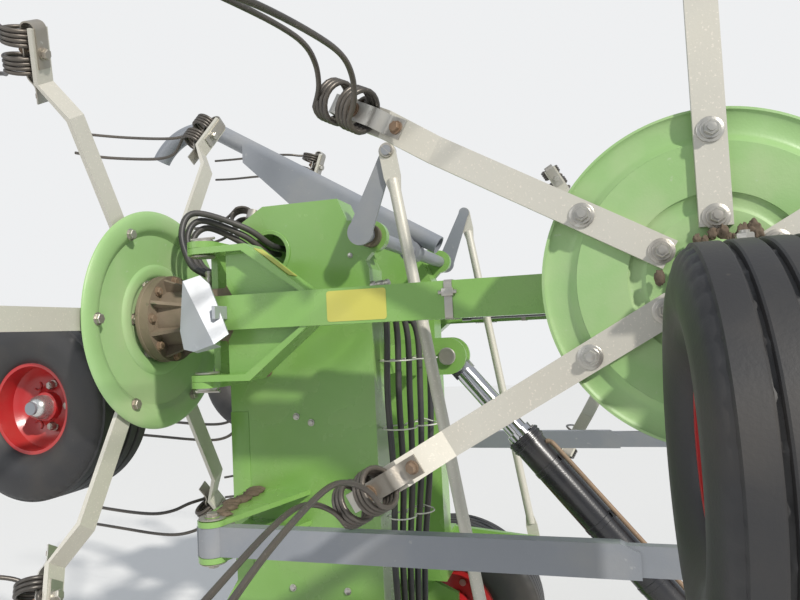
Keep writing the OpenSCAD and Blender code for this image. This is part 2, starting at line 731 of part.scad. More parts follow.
// Round bar along points; its ends stand square on the axis given for them
module sweep(p, axis, r, ring) {
    n = len(p);
    ahead = [for (i = [0 : n - 1]) i == 0 || i == n - 1 ? unit(axis[i == 0 ? 0 : 1]) : unit(p[i + 1] - p[i - 1])];
    side = [for (a = ahead) unit(cross(a, [0.31, 0.43, 0.85]))];
    verts = [for (i = [0 : n - 1]) for (k = [0 : ring - 1])
        p[i] + r * (cos(k * 360 / ring) * side[i] + sin(k * 360 / ring) * cross(ahead[i], side[i]))];
    walls = [for (i = [0 : n - 2]) for (k = [0 : ring - 1]) let (m = (k + 1) % ring)
        [i * ring + m, i * ring + k, (i + 1) * ring + k, (i + 1) * ring + m]];
    polyhedron(verts, concat(walls,
        [[for (k = [0 : ring - 1]) k]],
        [[for (k = [ring - 1 : -1 : 0]) (n - 1) * ring + k]]), convexity = 6);
}

module hoses() {
    color("black") {
        for (side = SIDES) on_side(side[1]) for (points = HINGE_HOSES)
            sweep(smooth(points, hose_steps), [[0, 1, 0], [0, 0, -1]], hose_r, hose_sides);
        mirror([0, 1, 0]) for (points = POST_HOSES)
            sweep(smooth(points, hose_steps), [[1, 0, 0], [-1, 0, 0]], hose_r, hose_sides);
    }
}

// Side plates that carry the lift pivot above the axle, with the tube between them
module pivot_frame() {
    inner = post_y + 15;
    foot = pivot_r + 34;
    top = road_r + rail_w / 2;
    ax = hinge_x + axle_x;
    color("green") {
        for (side = SIDES) on_side(side[1]) {
            translate([0, inner + 20, 0]) rotate([90, 0, 0]) linear_extrude(20) {
                polygon([
                    [pivot_x, pivot_z + foot], [pivot_x - foot, pivot_z], [pivot_x - 10, pivot_z - foot],
                    [ax - rail_w / 2, top], [ax + rail_w / 2, top], [ax + rail_w / 2, top + 70]
                ]);
                translate([pivot_x, pivot_z]) circle(r = foot, $fn = facets);
            }
            translate([pivot_x, post_y - post_w + 10, pivot_z]) rotate([-90, 0, 0])
                cylinder(h = post_w + 25, r = pivot_r, $fn = facets);
        }
        translate([ax - rail_w / 2 - 110, -inner - 2, top + 8]) cube([80, 2 * inner + 4, 80]);
    }
}

module road_axle() {
    color("green") translate([hinge_x + axle_x, 0, road_r]) {
        cube([rail_w, 2 * (track_half - road_w / 2 - 30), rail_w], center = true);
        rotate([90, 0, 0]) cylinder(h = 2 * track_half + 60, r = 22, center = true, $fn = facets);
    }
}

module drawbar() {
    front = hinge_x + hitch_reach;
    back = hinge_x + axle_x - rail_w / 2 - 30;
    low = bar_z - rail_w / 2;
    jack_x = front - jack_back;
    color("green") {
        difference() {
            union() {
                translate([back, -rail_w / 2, low]) cube([front - 160 - back, rail_w, rail_w]);
                translate([front - 170, -30, bar_z - eye_t / 2]) cube([110, 60, eye_t]);
                translate([front - 60, 0, bar_z - eye_t / 2]) cylinder(h = eye_t, r = 60, $fn = facets);
            }
            translate([front - 60, 0, bar_z - 50]) cylinder(h = 100, r = eye_r, $fn = facets);
        }
        translate([lift_anchor[0], 0, lift_anchor[1]]) rotate([90, 0, 0]) rotate([0, 0, 90])
            ram_lugs(LIFT_RAM, lift_anchor[1] - bar_top, 12, true, LIFT_RAM[3] + ram_wall + 2);
        for (s = [-1, 1]) translate([jack_x, s * (jack_r + side_gap + 5), 0]) {
            plate_xz([[-34, low], [34, low], [26, low - jack_drop], [-26, low - jack_drop]], 10);
            translate([0, 5, low - jack_drop]) rotate([90, 0, 0]) cylinder(h = 10, r = 26, $fn = facets);
        }
        translate([jack_x, jack_r + 2, low - jack_drop]) rotate([90, 0, 0])
            cylinder(h = 2 * jack_r + 4, r = jack_pin, $fn = facets);
    }
}

module jack_leg() {
    pivot = bar_z - rail_w / 2 - jack_drop;
    color("gray") translate([hinge_x + hitch_reach - jack_back, 0, 0]) difference() {
        union() {
            cylinder(h = 10, r = 88, $fn = facets);
            cylinder(h = pivot, r = jack_r, $fn = facets);
            translate([0, jack_r, pivot]) rotate([90, 0, 0]) cylinder(h = 2 * jack_r, r = 26, $fn = facets);
        }
        translate([0, 2 * jack_r, pivot]) rotate([90, 0, 0])
            cylinder(h = 4 * jack_r, r = jack_pin + clear, $fn = facets);
    }
}

// Angle gearbox on the drawbar, with its guarded input shaft and bearing block
module drive_box() {
    axis = bar_top + 90;
    box_x = hinge_x + 1400;
    stub_x = hinge_x + hitch_reach - 620;
    color("dimgray") {
        translate([box_x - 110, -80, bar_top]) cube([220, 160, 170]);
        translate([box_x + 108, 0, axis]) rotate([0, 90, 0]) cylinder(h = 40, r = 62, $fn = facets);
        translate([box_x + 140, 0, axis]) rotate([0, 90, 0])
            cylinder(h = stub_x - box_x - 140, r = 42, $fn = facets);
        translate([stub_x - 90, -40, bar_top]) cube([60, 80, 90]);
        translate([stub_x - 1, 0, axis]) rotate([0, 90, 0]) cylinder(h = 77, r = input_r, $fn = facets);
    }
}

module road_tyre(hand) {
    color("dimgray") on_side(hand) translate([hinge_x + axle_x, track_half, road_r])
        rotate([90, 0, 0]) tyre_shape(road_r, road_w, road_rim);
}

module road_rim_part(hand) {
    color("firebrick") on_side(hand) translate([hinge_x + axle_x, track_half, road_r])
        rotate([90, 0, 0]) mirror([0, 0, 1]) rim_shape(road_rim, road_w, 22 + clear, 55, 10);
}

for (u = UNITS) {
    disc(u);
    arms(u);
    tines(u);
    gearbox(u);
    wheel_arm(u);
    tyre(u);
    rim(u);
}
for (s = SIDES) {
    beam(s[1]);
    guard_bar(s[1]);
    fold_barrel(s[1]);
    fold_rod(s[1]);
    joint_shield(s[1]);
    road_tyre(s[1]);
    road_rim_part(s[1]);
}
posts();
cross_tubes();
hinge_brackets();
crank_shaft();
stay_rods();
rear_pole();
hoses();
lift_barrel();
lift_sleeve();
lift_rod();
pivot_frame();
road_axle();
drawbar();
jack_leg();
drive_box();
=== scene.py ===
import random
from itertools import product
from math import atan2, cos, degrees, radians, sin, tan

import bmesh
import bpy
from mathutils import Matrix, Vector, noise
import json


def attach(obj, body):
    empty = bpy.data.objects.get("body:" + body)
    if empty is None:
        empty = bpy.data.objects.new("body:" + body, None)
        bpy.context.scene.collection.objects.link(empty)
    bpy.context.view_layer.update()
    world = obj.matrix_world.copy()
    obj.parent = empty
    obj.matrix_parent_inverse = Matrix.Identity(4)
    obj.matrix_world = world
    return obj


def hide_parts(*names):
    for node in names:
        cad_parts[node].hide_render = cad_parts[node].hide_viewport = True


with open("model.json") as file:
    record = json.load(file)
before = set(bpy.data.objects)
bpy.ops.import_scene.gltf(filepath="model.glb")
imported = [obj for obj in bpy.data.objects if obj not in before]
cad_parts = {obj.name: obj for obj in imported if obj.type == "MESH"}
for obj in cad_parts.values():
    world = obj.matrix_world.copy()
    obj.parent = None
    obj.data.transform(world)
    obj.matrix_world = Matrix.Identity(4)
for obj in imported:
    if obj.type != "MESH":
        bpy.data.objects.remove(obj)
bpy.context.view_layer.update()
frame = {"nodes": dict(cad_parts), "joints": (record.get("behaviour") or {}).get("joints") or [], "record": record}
random.seed(11)

JOINTS = {j["name"]: j for j in frame["joints"]}
UNITS = {"cr": (-1, False, 30), "cl": (1, False, 0), "wr": (-1, True, 0), "wl": (1, True, 30)}
BODY_OF = {"cr": "lift", "cl": "lift", "wr": "wing_r", "wl": "wing_l"}
SIDES = {"r": -1, "l": 1}

# Sizes in metres, as on the solids
ROTOR_Z = JOINTS["rotor_cr_spin"]["pos_m"][2]
HINGE = Vector(JOINTS["wing_fold_l"]["pos_m"])
PIVOT = Vector(JOINTS["lift"]["pos_m"])
HX = HINGE.x
ARM_COUNT = 6
ARM_THICK, ARM_DROP, ARM_TILT, KNEE_R = 0.01, 0.052, 20.0, 0.58
ARM_BOLTS = ((0.092, 0.0048), (0.225, 0.0178))
WIRE_R, COIL_R = 0.0046, 0.034
COIL_PITCH, COIL_END = 0.061, 0.0134
TINE_AT, TINE_LEAN = 0.06, 0.03
TIP_Z = -0.516
HINGE_RISE, BEAM_REACH, BEAM_W = 0.2, 1.02, 0.074
BLOCK_H, BLOCK_Y = 0.12, 0.13
LUG_Z, LUG_T = 0.14, 0.014
SIGN_Y, SIGN_WIDE, SIGN_TALL, PLATE_T, BAND_Y = 0.373, 0.128, 0.063, 0.0008, 0.564
GUARD_DROP, GUARD_H = 0.495, 0.064
TYRE_R, TYRE_W, RIM_R = 0.228, 0.205, 0.113
ROAD_R, ROAD_W, ROAD_RIM = 0.33, 0.195, 0.165
WHEEL_LEAD, AXLE_DROP, PLATE_Y = 0.205, 0.32, 0.1165
POST_Y, POST_FRONT = 0.38, 0.295
CRANK = Vector((HX + 0.305, 0, ROTOR_Z + 0.185))
CRANK_TIP = CRANK + Vector((0.08, 0, 0.185))
CRANK_Y, CRANK_R = 0.466, 0.02
STAY_FOOT = Vector((HX + 0.578, 0, PIVOT.z + 0.02))
LIFT_EYE = Vector((HX + 0.408, 0, ROTOR_Z - 0.137))
LIFT_ANCHOR = Vector((HX + 1.041, 0, 0.56))
BARREL_L, PIN_Y = 0.672, 0.0425
BAR_TOP, BAR_Z = 0.495, 0.44
HITCH_X = HX + 3.0
AXLE_X = HX + 0.25

# Camera of the photograph: place, turn to the right, pitch and roll in degrees, lens in pixels of 800
CAM_PLACE = Vector((-0.2835, -1.9664, 1.3917))
CAM_YAW, CAM_PITCH, CAM_ROLL = -16.52, 2.71, -2.76
CAM_LENS_PX, FRAME_W = 668.0, 800.0


def in_scene(name, data):
    """New object, linked to the scene"""
    ob = bpy.data.objects.new(name, data)
    bpy.context.scene.collection.objects.link(ob)
    return ob


def make_camera():
    """Camera at the place and with the lens of the photograph"""
    yaw, pitch, roll = (radians(a) for a in (CAM_YAW, CAM_PITCH, CAM_ROLL))
    ahead = Vector((sin(yaw) * cos(pitch), cos(yaw) * cos(pitch), sin(pitch)))
    flat = Vector((cos(yaw), -sin(yaw), 0.0))
    high = flat.cross(ahead)
    right = flat * cos(roll) + high * sin(roll)
    up = high * cos(roll) - flat * sin(roll)
    data = bpy.data.cameras.new("camera")
    data.sensor_width = 36.0
    data.lens = CAM_LENS_PX / FRAME_W * data.sensor_width
    data.clip_start = 0.05
    cam = in_scene("camera", data)
    turn = Matrix((right, up, -ahead)).transposed().to_4x4()
    cam.matrix_world = Matrix.Translation(CAM_PLACE) @ turn
    bpy.context.scene.camera = cam


make_camera()


# Materials

def put(n, values):
    """Values of a node's inputs"""
    for key, value in values.items():
        n.inputs[key].default_value = value


def node(tree, kind, values, **settings):
    """New node with its settings and the values of its inputs"""
    n = tree.nodes.new("ShaderNode" + kind)
    for key, value in settings.items():
        setattr(n, key, value)
    put(n, values)
    return n


def base_material(name, metallic, roughness):
    m = bpy.data.materials.new(name)
    m.use_nodes = True
    shader = m.node_tree.nodes["Principled BSDF"]
    put(shader, {"Metallic": metallic, "Roughness": roughness})
    return m, m.node_tree, shader


def noise_ramp(tree, scale, low, high, detail=6.0):
    """A value from 0 to 1 that rises where the noise lies between low and high"""
    place = node(tree, "TexCoord", {})
    grain = node(tree, "TexNoise", {"Scale": scale, "Detail": detail})
    ramp = node(tree, "MapRange", {"From Min": low, "From Max": high})
    tree.links.new(place.outputs["Object"], grain.inputs["Vector"])
    tree.links.new(grain.outputs["Fac"], ramp.inputs["Value"])
    return ramp.outputs["Result"]


def mix_colours(tree, factor, a, b):
    mix = node(tree, "Mix", {}, data_type="RGBA")
    tree.links.new(factor, mix.inputs["Factor"])
    for value, socket in ((a, mix.inputs["A"]), (b, mix.inputs["B"])):
        if hasattr(value, "is_linked"):
            tree.links.new(value, socket)
        else:
            socket.default_value = (*value, 1.0)
    return mix.outputs["Result"]


def scaled(tree, value, by):
    m = node(tree, "Math", {1: by}, operation="MULTIPLY")
    tree.links.new(value, m.inputs[0])
    return m.outputs[0]


def bump(tree, shader, height, strength, distance):
    b = node(tree, "Bump", {"Strength": strength, "Distance": distance})
    tree.links.new(height, b.inputs["Height"])
    tree.links.new(b.outputs["Normal"], shader.inputs["Normal"])


def worn(name, base, shade, dirt, spots, roughness, dirt_amount, spot_low=0.66, spot_scale=60.0,
        metallic=0.0, relief=0.15, coat=0.0, grain=260.0):
    """Base colour that drifts to a shade, under soft dirt and small chips of another colour"""
    m, tree, shader = base_material(name, metallic, roughness)
    drift = noise_ramp(tree, 3.5, 0.35, 0.65)
    colour = mix_colours(tree, drift, base, shade)
    cloud = scaled(tree, noise_ramp(tree, 7.0, 0.46, 0.78, detail=10.0), dirt_amount)
    colour = mix_colours(tree, cloud, colour, dirt)
    chips = noise_ramp(tree, spot_scale, spot_low, spot_low + 0.05, detail=3.0)
    colour = mix_colours(tree, scaled(tree, chips, 0.8), colour, spots)
    tree.links.new(colour, shader.inputs["Base Color"])
    rough = node(tree, "MapRange", {"To Min": roughness * 0.85, "To Max": min(1.0, roughness * 1.7)})
    tree.links.new(cloud, rough.inputs["Value"])
    tree.links.new(rough.outputs["Result"], shader.inputs["Roughness"])
    if coat:
        put(shader, {"Coat Weight": coat, "Coat Roughness": 0.18})
    bump(tree, shader, noise_ramp(tree, grain, 0.3, 0.7, detail=3.0), relief, 0.0006)
    return m


MAT = {
    "green": worn("disc_paint", (0.27, 0.45, 0.17), (0.33, 0.51, 0.23), (0.42, 0.48, 0.28),
        (0.38, 0.5, 0.28), 0.46, 0.6, spot_low=0.7, spot_scale=70.0),
    "frame_green": worn("frame_paint", (0.185, 0.365, 0.08), (0.215, 0.405, 0.105), (0.28, 0.36, 0.16),
        (0.23, 0.4, 0.13), 0.3, 0.35, spot_low=0.72, coat=0.3),
    "galvanised": worn("galvanised", (0.56, 0.54, 0.47), (0.62, 0.6, 0.53), (0.47, 0.44, 0.36),
        (0.72, 0.67, 0.59), 0.5, 0.45, spot_low=0.62, spot_scale=240.0, metallic=0.25, relief=0.08),
    "spring_steel": worn("spring_steel", (0.085, 0.078, 0.07), (0.13, 0.115, 0.1), (0.19, 0.155, 0.115),
        (0.2, 0.18, 0.155), 0.42, 0.45, spot_low=0.66, spot_scale=160.0, metallic=0.55),
    "grey_paint": worn("grey_paint", (0.2, 0.215, 0.24), (0.24, 0.255, 0.28), (0.33, 0.31, 0.27),
        (0.3, 0.31, 0.32), 0.42, 0.35, spot_low=0.7, coat=0.15),
    "cast": worn("dusty_casting", (0.1, 0.08, 0.055), (0.16, 0.125, 0.085), (0.3, 0.24, 0.17),
        (0.07, 0.1, 0.045), 0.75, 0.8, spot_scale=26.0, relief=0.6, grain=90.0),
    "tyre": worn("rubber", (0.024, 0.024, 0.026), (0.034, 0.033, 0.033), (0.085, 0.072, 0.058),
        (0.06, 0.055, 0.05), 0.58, 0.45, spot_low=0.72, spot_scale=120.0),
    "rim_red": worn("rim_paint", (0.42, 0.018, 0.022), (0.5, 0.03, 0.03), (0.26, 0.12, 0.09),
        (0.4, 0.1, 0.08), 0.34, 0.4, spot_low=0.72, coat=0.3),
    "black": worn("black_paint", (0.014, 0.014, 0.017), (0.022, 0.022, 0.025), (0.1, 0.085, 0.07),
        (0.05, 0.048, 0.045), 0.3, 0.3, spot_low=0.72, coat=0.3),
    "chrome": worn("polished_rod", (0.62, 0.62, 0.64), (0.56, 0.56, 0.58), (0.4, 0.38, 0.34),
        (0.5, 0.49, 0.47), 0.16, 0.2, spot_low=0.75, metallic=1.0, relief=0.03),
    "hose": worn("hose_rubber", (0.03, 0.03, 0.032), (0.045, 0.044, 0.043), (0.13, 0.11, 0.085),
        (0.08, 0.075, 0.07), 0.5, 0.5, spot_low=0.72),
    "bolt": worn("zinc_bolt", (0.5, 0.49, 0.45), (0.42, 0.39, 0.34), (0.3, 0.24, 0.17), (0.6, 0.59, 0.55),
        0.38, 0.5, spot_low=0.7, metallic=0.75),
    "rusty": worn("rusty_bolt", (0.24, 0.15, 0.09), (0.3, 0.22, 0.15), (0.13, 0.085, 0.055),
        (0.42, 0.38, 0.32), 0.7, 0.6, metallic=0.3, relief=0.4),
    "cap": worn("bright_cap", (0.66, 0.66, 0.65), (0.58, 0.57, 0.55), (0.44, 0.38, 0.3), (0.5, 0.48, 0.45),
        0.32, 0.4, spot_low=0.72, metallic=0.85, relief=0.05),
    "shield": worn("bright_sheet", (0.5, 0.52, 0.55), (0.45, 0.47, 0.5), (0.37, 0.37, 0.35),
        (0.56, 0.58, 0.6), 0.5, 0.45, spot_low=0.68, spot_scale=45.0, metallic=0.5, relief=0.06),
    "yellow": worn("yellow_plate", (0.56, 0.53, 0.11), (0.53, 0.5, 0.1), (0.46, 0.44, 0.2),
        (0.52, 0.49, 0.18), 0.36, 0.25, spot_low=0.75, relief=0.04),
    "mud": worn("dry_mud", (0.095, 0.068, 0.046), (0.13, 0.095, 0.065), (0.21, 0.16, 0.11),
        (0.1, 0.07, 0.045), 0.95, 0.7, spot_scale=45.0, relief=1.0, grain=140.0),
    "boot": worn("dusty_rubber", (0.035, 0.032, 0.03), (0.055, 0.048, 0.042), (0.2, 0.15, 0.1),
        (0.14, 0.11, 0.08), 0.75, 0.8, relief=0.3),
    "tie": worn("tie_plastic", (0.66, 0.66, 0.6), (0.58, 0.58, 0.5), (0.5, 0.44, 0.32), (0.7, 0.7, 0.66),
        0.45, 0.3, spot_low=0.75, relief=0.03),
    "plastic": worn("guard_plastic", (0.018, 0.018, 0.019), (0.028, 0.028, 0.028), (0.12, 0.1, 0.08),
        (0.05, 0.05, 0.05), 0.5, 0.4, spot_low=0.74),
    # painted shade: a dark colour for the strips that stand in for the shade down in the spline grooves
    "groove": worn("painted_groove_shade", (0.05, 0.045, 0.04), (0.08, 0.07, 0.06), (0.03, 0.025, 0.02),
        (0.12, 0.11, 0.1), 0.4, 0.4, metallic=0.6),
}


# Mesh building

def polar(r, angle):
    """Point on a circle, from its angle in degrees"""
    return r * cos(radians(angle)), r * sin(radians(angle))


def quads(rows, n):
    """Faces between rows of n points each, every row closed in a ring"""
    return [[i * n + k, i * n + (k + 1) % n, (i + 1) * n + (k + 1) % n, (i + 1) * n + k]
        for i in range(rows - 1) for k in range(n)]


class Shape:
    """Points and faces of one piece, with the small forms that the pieces share"""

    def __init__(self):
        self.verts = []
        self.faces = []

    def add(self, verts, faces, place=None):
        start = len(self.verts)
        flip = place is not None and place.determinant() < 0
        for v in verts:
            self.verts.append(place @ Vector(v) if place is not None else Vector(v))
        for f in faces:
            loop = [start + i for i in f]
            self.faces.append(loop[::-1] if flip else loop)

    def take(self, bm, place):
        """Everything in a mesh under work, which is then let go"""
        bm.verts.index_update()
        self.add([v.co.copy() for v in bm.verts], [[v.index for v in f.verts] for f in bm.faces], place)
        bm.free()

    def tube(self, path, radius, sides=10, place=None):
        """Round tube along points"""
        path = [Vector(p) for p in path]
        count = len(path)
        verts = []
        side = (path[1] - path[0]).normalized().orthogonal().normalized()
        for i, p in enumerate(path):
            ahead = path[min(i + 1, count - 1)] - path[max(i - 1, 0)]
            ahead.normalize()
            side = (side - ahead * side.dot(ahead)).normalized()
            other = ahead.cross(side)
            for k in range(sides):
                c, s = polar(radius, 360 * k / sides)
                verts.append(p + side * c + other * s)
        ends = [list(range(sides - 1, -1, -1)), [(count - 1) * sides + k for k in range(sides)]]
        self.add(verts, quads(count, sides) + ends, place)

    def revolve(self, profile, place=None, steps=48, reshape=None):
        """Closed profile of (radius, height) turned about +Z"""
        verts = []
        n = len(profile)
        for i in range(steps):
            for j, (r, z) in enumerate(profile):
                if reshape:
                    r, z = reshape(r, z, i, j)
                verts.append((*polar(r, 360 * i / steps), z))
        total = n * steps
        faces = [[f[0], f[3] % total, f[2] % total, f[1]] for f in quads(steps + 1, n)]
        self.add(verts, faces, place)

    def lathe(self, profile, place=None, steps=32):
        """Profile that starts and ends on the axis"""
        verts = [(*polar(r, 360 * i / steps), z) for i in range(steps) for r, z in profile[1:-1]]
        n = len(profile) - 2
        total = n * steps
        verts += [(0, 0, profile[0][1]), (0, 0, profile[-1][1])]
        faces = []
        for i in range(0, total, n):
            t = (i + n) % total
            faces += [[i + j, t + j, t + j + 1, i + j + 1] for j in range(n - 1)]
            faces += [[total, t, i], [total + 1, i + n - 1, t + n - 1]]
        self.add(verts, faces, place)

    def bolt(self, place, size, head, nut_side=0.0):
        """Hexagon head with a washer, standing on the plane z = 0 of its place"""
        w = size * 1.2075
        self.lathe([(0, 0), (w, 0), (w, 0.0022), (size * 0.9, 0.0026), (0, 0.0026)], place, 24)
        verts = []
        for z, k in ((0.0024, 0.98), (head * 0.85 + 0.0024, 0.98), (head + 0.0024, 0.84)):
            verts += [(*polar(size * k, 60 * i), z) for i in range(6)]
        faces = [[0, 5, 4, 3, 2, 1], [12, 13, 14, 15, 16, 17]]
        self.add(verts, quads(3, 6) + faces, place)
        if nut_side:
            thread = size * 0.55
            end = head + nut_side
            self.lathe([(0, head), (thread, head), (thread, end), (0, end + 0.001)], place, 16)

    def block(self, low, high, place=None, edge=0.002):
        """Box with small chamfers"""
        lo, hi = Vector(low), Vector(high)
        mid, half = (lo + hi) / 2, (hi - lo) / 2
        bm = bmesh.new()
        bmesh.ops.create_cube(bm, size=2.0)
        for v in bm.verts:
            v.co = Vector((v.co.x * half.x, v.co.y * half.y, v.co.z * half.z)) + mid
        bmesh.ops.bevel(bm, geom=bm.edges[:], offset=min(edge, min(half) * 0.45), segments=2, profile=0.5,
            affect="EDGES")
        self.take(bm, place)

    def ring(self, place, inner, outer, length, edge=0.0015, steps=32):
        """Round band about +Z with small chamfers"""
        half = length / 2
        self.revolve([(inner, -half), (outer - edge, -half), (outer, -half + edge), (outer, half - edge),
            (outer - edge, half), (inner, half)], place, steps)

    def nut_stack(self, place):
        """Wide washer, cone washer, nut and the end of its bolt"""
        self.lathe([(0, 0), (0.02, 0), (0.02, 0.0025), (0.0188, 0.0032), (0, 0.0032)], place, 28)
        self.lathe([(0, 0.003), (0.0155, 0.003), (0.015, 0.0055), (0.0125, 0.0072), (0, 0.0072)], place, 28)
        self.bolt(place @ moved(0, 0, 0.005), 0.0118, 0.0095, nut_side=0.006)

    def strap(self, path, width, thick, place=None):
        """Flat strip of the given width, along Y, that follows points in X and Z"""
        pts = [Vector((p[0], 0, p[1])) for p in path]
        n = len(pts)
        verts = []
        for i, p in enumerate(pts):
            ahead = (pts[min(i + 1, n - 1)] - pts[max(i - 1, 0)]).normalized()
            out = Vector((-ahead.z, 0, ahead.x)) * thick / 2
            for side, lift in ((-1, -1), (1, -1), (1, 1), (-1, 1)):
                verts.append(p + out * lift + Vector((0, side * width / 2, 0)))
        self.add(verts, quads(n, 4) + [[0, 3, 2, 1], [(n - 1) * 4 + k for k in range(4)]], place)

    def sheet_plate(self, outline, thick, place=None):
        """Flat plate: outline in X and Y, from Z = 0 up by its thickness"""
        n = len(outline)
        verts = [(x, y, 0.0) for x, y in outline] + [(x, y, thick) for x, y in outline]
        faces = [[i for i in range(n - 1, -1, -1)], [n + i for i in range(n)]]
        faces += [[i, (i + 1) % n, n + (i + 1) % n, n + i] for i in range(n)]
        self.add(verts, faces, place)

    def lump(self, centre, size, seed, place=None, detail=3):
        """Rough clod of earth"""
        bm = bmesh.new()
        bmesh.ops.create_icosphere(bm, subdivisions=detail, radius=1.0)
        shift = Vector((seed * 3.7, seed * 1.3, seed * 2.1))
        for v in bm.verts:
            push = 1.0 + 0.45 * noise.noise(v.co * 1.6 + shift) + 0.26 * noise.noise(v.co * 4.0 + shift)
            v.co = Vector((v.co.x * size[0], v.co.y * size[1], v.co.z * size[2])) * push + Vector(centre)
        self.take(bm, place)

    def piece(self, name, body, look, replaced=(), angle=38.0, slot=None):
        """Object that rides on a body, in a finish of the table; edges under the angle are smooth"""
        mesh = bpy.data.meshes.new(name)
        mesh.from_pydata([tuple(v) for v in self.verts], [], self.faces)
        bm = bmesh.new()
        bm.from_mesh(mesh)
        bmesh.ops.remove_doubles(bm, verts=bm.verts[:], dist=1e-6)
        bmesh.ops.recalc_face_normals(bm, faces=bm.faces[:])
        for f in bm.faces:
            f.smooth = True
        for e in bm.edges:
            e.smooth = len(e.link_faces) == 2 and e.calc_face_angle(0.0) < radians(angle)
        bm.to_mesh(mesh)
        bm.free()
        mesh.materials.append(MAT[look])
        ob = in_scene(name, mesh)
        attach(ob, body)
        if replaced:
            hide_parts(*replaced)


def frame_of(x, y, z, origin):
    """Matrix whose columns are the axes of a local frame"""
    return Matrix.Translation(origin) @ Matrix((x, y, z)).transposed().to_4x4()


def unit_place(u):
    """Rotor frame: Z up and X forward at work, origin under the middle of the disc"""
    hand, wing, _ = UNITS[u]
    origin = JOINTS[f"rotor_{u}_spin"]["pos_m"]
    if wing:
        return frame_of((0, 0, -1), (1, 0, 0), (0, -hand, 0), origin)
    return frame_of((0, 0, -1), (0, hand, 0), (1, 0, 0), origin)


def wing_place(hand):
    """Wing frame: X to the top side of the rotors, Y out along the beam, Z up on the road"""
    origin = (HINGE.x, hand * HINGE.y, HINGE.z)
    return frame_of((0, -hand, 0), (1, 0, 0), (0, 0, 1), origin)


def side_place(hand):
    """Machine frame, mirrored for the right-hand side"""
    return Matrix.Diagonal((1, hand, 1, 1))


def facing(origin, out):
    """Frame at a point with +Z along the direction out"""
    z = Vector(out).normalized()
    x = z.orthogonal().normalized()
    return frame_of(x, z.cross(x), z, origin)


def beside(point, y, out=1):
    """Frame at the X and Z of a point and at the given Y, with +Z along Y"""
    return facing((point.x, y, point.z), (0, out, 0))


def turned(angle, axis="Z"):
    return Matrix.Rotation(radians(angle), 4, axis)


def moved(x, y, z):
    return Matrix.Translation((x, y, z))


def around(place, count, start=0):
    """The place turned about its Z in equal steps"""
    return [place @ turned(360 / count * i + start) for i in range(count)]


# Directions, and the way a bolt stands above (1) or below (-1) a part
OUT, AHEAD = (0, 1, 0), (1, 0, 0)
DOWN = turned(180, "X")
STANDING = {1: Matrix.Identity(4), -1: DOWN}


def rounded(wide, tall, corner):
    """Outline of a rectangle about the origin, with round corners"""
    out = []
    for cx, cy, start in ((1, 1, 0), (-1, 1, 90), (-1, -1, 180), (1, -1, 270)):
        for k in range(5):
            x, y = polar(corner, start + 22.5 * k)
            out.append((cx * (wide / 2 - corner) + x, cy * (tall / 2 - corner) + y))
    return out


def smooth_path(points, steps):
    """More points on a curve through the given ones"""
    pts = [Vector(p) for p in points]
    last = len(pts) - 1
    out = []
    for i in range(last):
        a, b, c, d = pts[max(i - 1, 0)], pts[i], pts[i + 1], pts[min(i + 2, last)]
        for k in range(steps):
            t = k / steps
            out.append(0.5 * (2 * b + (c - a) * t + (2 * a - 5 * b + 4 * c - d) * t * t
                + (3 * b - a - 3 * c + d) * t ** 3))
    out.append(pts[last])
    return out


def smooth_flat(points, steps):
    """The same for points in a plane"""
    return [v.xz for v in smooth_path([(x, 0, z) for x, z in points], steps)]


# Solids that keep their own shape

def dress_nodes():
    """Each solid takes the finish of its slot"""
    slots = {s["node"]: s["material_slot"] for s in frame["record"]["subparts"]}
    for name, ob in frame["nodes"].items():
        ob.data.materials.clear()
        ob.data.materials.append(MAT[slots[name]])


# Tines: one wire makes both legs and both coils on an arm

# Clip in the frame of an arm's end: along its top, over the end, back through the coils and under the arm
CLIP = [(0.03, ARM_THICK + 0.0016), (0.1, ARM_THICK + 0.0016), (0.111, ARM_THICK + 0.0006), (0.118, 0.0055),
    (0.1205, -0.004), (0.1185, -0.013), (0.112, -0.0195), (0.098, -0.0205), (TINE_AT, -0.0205),
    (0.02, -0.0205), (0.006, -0.017), (-0.004, -0.006), (-0.014, -0.0018), (-0.044, -0.0018)]


def arm_end(hand):
    """Frame on the underside of an arm's tilted end: X outward along it, Y the way the coils wind"""
    return moved(KNEE_R, 0, -ARM_DROP) @ turned(-ARM_TILT, "Y") @ Matrix.Diagonal((1, hand, 1, 1))


def half_wire(hand, side):
    """From the tip of one leg up into its coil, to the top of the coil beside the clamp"""
    turns, start, steps = 3.375, 225.0, 22
    pitch = 2.03 * WIRE_R
    end = arm_end(hand)
    along = TINE_AT + side * (COIL_PITCH / 2 + COIL_END)
    low = COIL_R + WIRE_R
    at = end @ Vector((along, 0, -low))
    knees = [(0, 0.004, -0.052), (0.002, 0.03, -0.088), (0.005, 0.042, -0.14), (0.01, 0.036, -0.22),
        (0.018, 0.016, -0.34)]
    points = [at + Vector((r, t * hand, z)) for r, t, z in knees]
    points.append(Vector((at.x + TINE_LEAN, -0.008 * hand, TIP_Z)))

    def wound(i):
        y, z = polar(COIL_R, start - 360 * i / steps)
        return end @ Vector((along - side * pitch * i / steps, y, z - low))

    leg = list(reversed(smooth_path([wound(0)] + points, 5)))[:-1]
    return leg + [wound(i) for i in range(int(turns * steps) + 1)]


def tine_path(hand):
    """Both legs and coils, joined by a bow in front of the clamp"""
    inner, outer = half_wire(hand, -1), half_wire(hand, 1)
    a, b = inner[-1], outer[-1]
    way = (arm_end(hand).to_3x3() @ Vector((0, 1, 0))) * 0.024
    bow = smooth_path([a, a + way * 0.8, (a + b) / 2 + way * 1.3, b + way * 0.8, b], 4)
    return inner + bow[1:-1] + outer[::-1]


